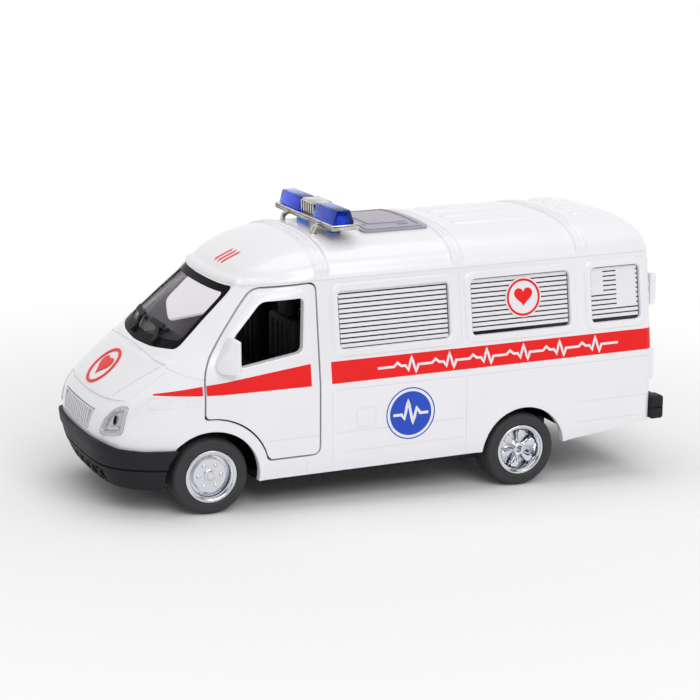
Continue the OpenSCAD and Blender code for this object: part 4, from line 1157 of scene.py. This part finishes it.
class AMBULANCE_OT_prints(bpy.types.Operator):
    """Pad prints: side stripe with its pulse line, roundels, badge and brow marks"""
    bl_idname = "ambulance.prints"
    bl_label = "Prints"

    @staticmethod
    def heart(c, size):
        out = []
        for a in (2 * math.pi * k / ROUND for k in range(ROUND)):
            u = 16 * math.sin(a) ** 3
            v = 13 * math.cos(a) - 5 * math.cos(2 * a) - 2 * math.cos(3 * a) - math.cos(4 * a)
            out.append((c[0] + u * size / 17, c[1] + (v + 2.5) * size / 17))
        return out

    def execute(self, context):
        def level(x0, x1, n):
            return strip(*[((x0, z), (x1, z)) for z in (STRIPE_TOP, STRIPE_FOOT)], n)

        piece("stripe_body", both(level(7.5, -53.0, 70), level(-53.0, -55.3, 24)), "print_red")
        door = strip(((29.6, 23.66), (11.2, 25.6)), ((29.6, 22.0), (11.2, STRIPE_FOOT)))
        pair("stripe_door", door, "print_red", body="front_door")
        wing = strip(((37.9, 22.5), (30.2, 23.58)), ((37.9, 22.3), (30.2, 22.02)))
        piece("stripe_wing", both(wing), "print_red")
        pulse = [(-4 - 7.2 * k - x, PULSE_Z + z) for k in range(6) for x, z in PULSE]
        pulse = [(-1, PULSE_Z), *pulse, (-48, PULSE_Z)]
        piece("pulse_line", both(ribbon(pulse, 0.42, on_side, OVERPRINT, 0.0, 1.0)), "print_white")
        badge = [patch(disc(BADGE, 3.9), on_side, INK, -INK, 5, step=0), band(BADGE, 4.6, 4.4, on_side, INK, -INK)]
        piece("badge", both(*badge), "print_blue")
        piece("badge_beat", both(ribbon(BEAT, 0.5, on_side, OVERPRINT, 0.0, 1.0)), "print_white")
        white = patch(disc(ROUNDEL, 3.5), on_side, -0.38, -0.5, 5, step=0)
        piece("window_roundel", both(white), "print_white")
        red = [band(ROUNDEL, 3.25, 2.85, on_side, -0.35, -0.4),
               patch(self.heart(ROUNDEL, 1.9), on_side, -0.35, -0.4, 4, ROUNDEL, step=0)]
        piece("window_ring", both(*red), "print_red")
        mid = (0, 0)
        bonnet = [band(mid, 3.9, 3.35, on_bonnet, 0.34, 0.2),
                  patch(self.heart(mid, 2.3), on_bonnet, 0.34, 0.2, 4, mid, step=0)]
        piece("hood_roundel", joined(*bonnet), "print_red")
        marks = [ribbon([(y, 40.9), (y + 1, 42.6)], 0.62, on_front, INK, -INK) for y in (0.9, 2.4, 3.9)]
        piece("brow_marks", joined(*marks), "print_red")
        return {"FINISHED"}


class AMBULANCE_OT_inside(bpy.types.Operator):
    """Seats, and materials for the pieces carried over from the CAD model"""
    bl_idname = "ambulance.inside"
    bl_label = "Inside and underside"

    def execute(self, context):
        seats = []
        for y0, y1 in ((3, 14), (-14, -3)):
            seats += [block(12, 20.4, y0, y1, 17.0, 20.3, 0.9, 5), block(9.7, 12.5, y0, y1, 17.4, 31.9, 0.9, 5),
                      block(9.95, 11.95, y0 + 3, y1 - 3, 31.4, 34.9, 0.7, 5)]
            seats += [block(12.3, 12.75, y - 0.75, y + 0.75, 20.9, 30.8, 0.3)
                      for y in (y0 + 2.2 + 2.2 * k for k in range(4))]
        piece("seat_pair", joined(*seats), "cab", ("seats",), 30)
        carried = {"black": ("base_plate",), "cab": ("interior_tub", "steering_wheel"),
                   "steel": ("door_hinge_left", "door_hinge_right", "door_pins", "base_screws", "front_axle",
                             "rear_axle", "flywheel"),
                   "paint": ("rear_hinge_brackets",), "case": ("drive_case", "drive_cover"),
                   "gear": ("axle_gear", "idler_gear")}
        for material, names in carried.items():
            for name in names:
                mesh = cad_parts[name].data
                mesh.materials.clear()
                mesh.materials.append(MATS[material])
        return {"FINISHED"}


# ---------------------------------------------------------------- stage
def seen(t):
    """1 for rays that the camera sees directly, in a reflection or through something clear, else 0."""
    path = node(t, "ShaderNodeLightPath").outputs
    direct = {0: path["Is Camera Ray"], 1: path["Is Glossy Ray"]}
    direct = node(t, "ShaderNodeMath", direct, operation="MAXIMUM").outputs[0]
    return node(t, "ShaderNodeMath", {0: direct, 1: path["Is Transmission Ray"]}, operation="MAXIMUM").outputs[0]


def card(name, width, height, material, place, turn=Matrix()):
    """A flat stage piece."""
    w, h = width / 2, height / 2
    mesh = tidy_mesh(name, [(-w, -h, 0), (w, -h, 0), (w, h, 0), (-w, h, 0)], [(0, 1, 2, 3)])
    mesh.transform(Matrix.Translation(place) @ turn)
    mesh.materials.append(material)
    o = bpy.data.objects.new(name, mesh)
    bpy.context.scene.collection.objects.link(o)
    return o


def aimed(place, height):
    """The turn that points something at this height over the floor's middle."""
    return (Vector((0, 0, height)) - Vector(place)).to_track_quat("-Z", "Y")


class AMBULANCE_OT_stage(bpy.types.Operator):
    """Floor, soft studio light, world and the photograph's camera"""
    bl_idname = "ambulance.stage"
    bl_label = "Stage"

    def floor(self):
        # White paper sweep: matt, with a faint grain, lit to pure white away from the object.
        m = bpy.data.materials.new("white_paper_sweep")
        t = node_tree(m)
        shown = seen(t)
        where = node(t, "ShaderNodeTexCoord").outputs["Object"]
        grain = node(t, "ShaderNodeTexNoise", {"Vector": where, "Scale": 900.0, "Detail": 2.0}).outputs["Fac"]
        tones = {"Factor": grain, 6: (0.95, 0.95, 0.95, 1), 7: (0.97, 0.97, 0.97, 1)}
        tone = node(t, "ShaderNodeMix", tones, data_type="RGBA")
        paper = node(t, "ShaderNodeBsdfDiffuse", {"Color": tone.outputs[2]})
        glow = node(t, "ShaderNodeEmission", {"Strength": shown, "Color": (1, 1, 1, 1)})
        far = node(t, "ShaderNodeVectorMath", {0: where}, operation="LENGTH").outputs["Value"]
        fade = node(t, "ShaderNodeMapRange", {"Value": far, "From Min": 0.05, "From Max": 0.17},
                    interpolation_type="SMOOTHSTEP")
        white = node(t, "ShaderNodeMath", {0: fade.outputs[0], 1: shown}, operation="MULTIPLY").outputs[0]
        mixed = node(t, "ShaderNodeMixShader", {0: white, 1: paper.outputs[0], 2: glow.outputs[0]})
        node(t, "ShaderNodeOutputMaterial", {0: mixed.outputs[0]})
        card("floor", 4, 4, m, (0, 0, CAD_BOX[0][2]))

    def light(self, scene):
        scene.world = bpy.data.worlds.new("white_studio")
        t = node_tree(scene.world)
        level = node(t, "ShaderNodeMapRange", {"Value": seen(t), "To Min": 0.5, "To Max": 1.0})
        back = node(t, "ShaderNodeBackground", {"Strength": level.outputs[0], "Color": (1, 1, 1, 1)})
        node(t, "ShaderNodeOutputWorld", {0: back.outputs[0]})
        for name, place, size, watts in (("softbox_top", (0.0, -0.1, 0.75), (0.7, 0.6), 1.5),
                                         ("softbox_front", (-0.02, 0.68, 0.62), (0.7, 0.5), 3.0)):
            light = bpy.data.lights.new(name, "AREA")
            light.shape, light.size, light.size_y, light.energy = "RECTANGLE", *size, watts
            l = bpy.data.objects.new(name, light)
            l.location = place
            l.rotation_euler = aimed(place, 0.02).to_euler()
            scene.collection.objects.link(l)
        # Black flags that only reflections see give the metallised pieces their dark streaks.
        felt = plastic("black_felt_flag", colour("#050505"), "#080808", 0.9, 8.0, sheen=0.0)
        for name, place, size in (("flag_low", (0.05, 0.7, 0.06), (0.9, 0.1)),
                                  ("flag_left", (-0.45, 0.5, 0.2), (0.14, 0.5)),
                                  ("flag_right", (0.5, 0.42, 0.2), (0.14, 0.5))):
            o = card(name, *size, felt, place, aimed(place, 0.03).to_matrix().to_4x4())
            o.visible_camera = o.visible_diffuse = o.visible_transmission = o.visible_shadow = False

    def execute(self, context):
        scene = context.scene
        self.floor()
        self.light(scene)
        az, el, roll = CAMERA_TURN
        back = Vector((math.sin(az) * math.cos(el), math.cos(az) * math.cos(el), math.sin(el)))
        right = Vector((0, 0, 1)).cross(back).normalized()
        up = back.cross(right)
        axes = (right * math.cos(roll) + up * math.sin(roll), up * math.cos(roll) - right * math.sin(roll), back)
        data = bpy.data.cameras.new("photo_camera")
        data.sensor_width, data.lens = SENSOR_MM, FOCAL_PX / PHOTO_PX * SENSOR_MM
        data.clip_start, data.clip_end = 0.01, 20
        cam = bpy.data.objects.new("photo_camera", data)
        turn = Matrix.Rotation(RAKE, 3, "Y") @ Matrix(axes).transposed()
        cam.matrix_world = Matrix.Translation(PLACE @ Vector(CAMERA_AT)) @ turn.to_4x4()
        scene.collection.objects.link(cam)
        scene.camera = cam
        scene.view_settings.view_transform = "Standard"
        return {"FINISHED"}


STEPS = (AMBULANCE_OT_casting, AMBULANCE_OT_doors, AMBULANCE_OT_glazing, AMBULANCE_OT_front_trim, AMBULANCE_OT_tail,
         AMBULANCE_OT_wheels, AMBULANCE_OT_roof, AMBULANCE_OT_prints, AMBULANCE_OT_inside, AMBULANCE_OT_stage)


class AMBULANCE_PT_panel(bpy.types.Panel):
    """The ambulance's pieces and sizes"""
    bl_idname = "AMBULANCE_PT_panel"
    bl_label = "Toy ambulance"
    bl_space_type = "VIEW_3D"
    bl_region_type = "UI"
    bl_category = "Ambulance"

    def draw(self, context):
        for group in (context.scene.ambulance_sizes, context.scene.ambulance_colours):
            box = self.layout.box()
            for name in group.__annotations__:
                box.prop(group, name)
        for step in STEPS:
            self.layout.operator(step.bl_idname)


CLASSES = (AmbulanceSizes, AmbulanceColours) + STEPS + (AMBULANCE_PT_panel,)


def register():
    for c in CLASSES:
        bpy.utils.register_class(c)
    bpy.types.Scene.ambulance_sizes = bpy.props.PointerProperty(type=AmbulanceSizes)
    bpy.types.Scene.ambulance_colours = bpy.props.PointerProperty(type=AmbulanceColours)


def unregister():
    del bpy.types.Scene.ambulance_colours
    del bpy.types.Scene.ambulance_sizes
    for c in reversed(CLASSES):
        bpy.utils.unregister_class(c)


def main():
    register()
    MATS.update(materials())
    for step in STEPS:
        family, op = step.bl_idname.split(".")
        getattr(getattr(bpy.ops, family), op)()
    for m in SHARED.values():
        bpy.data.meshes.remove(m)
    SHARED.clear()


if __name__ == "__main__":
    main()
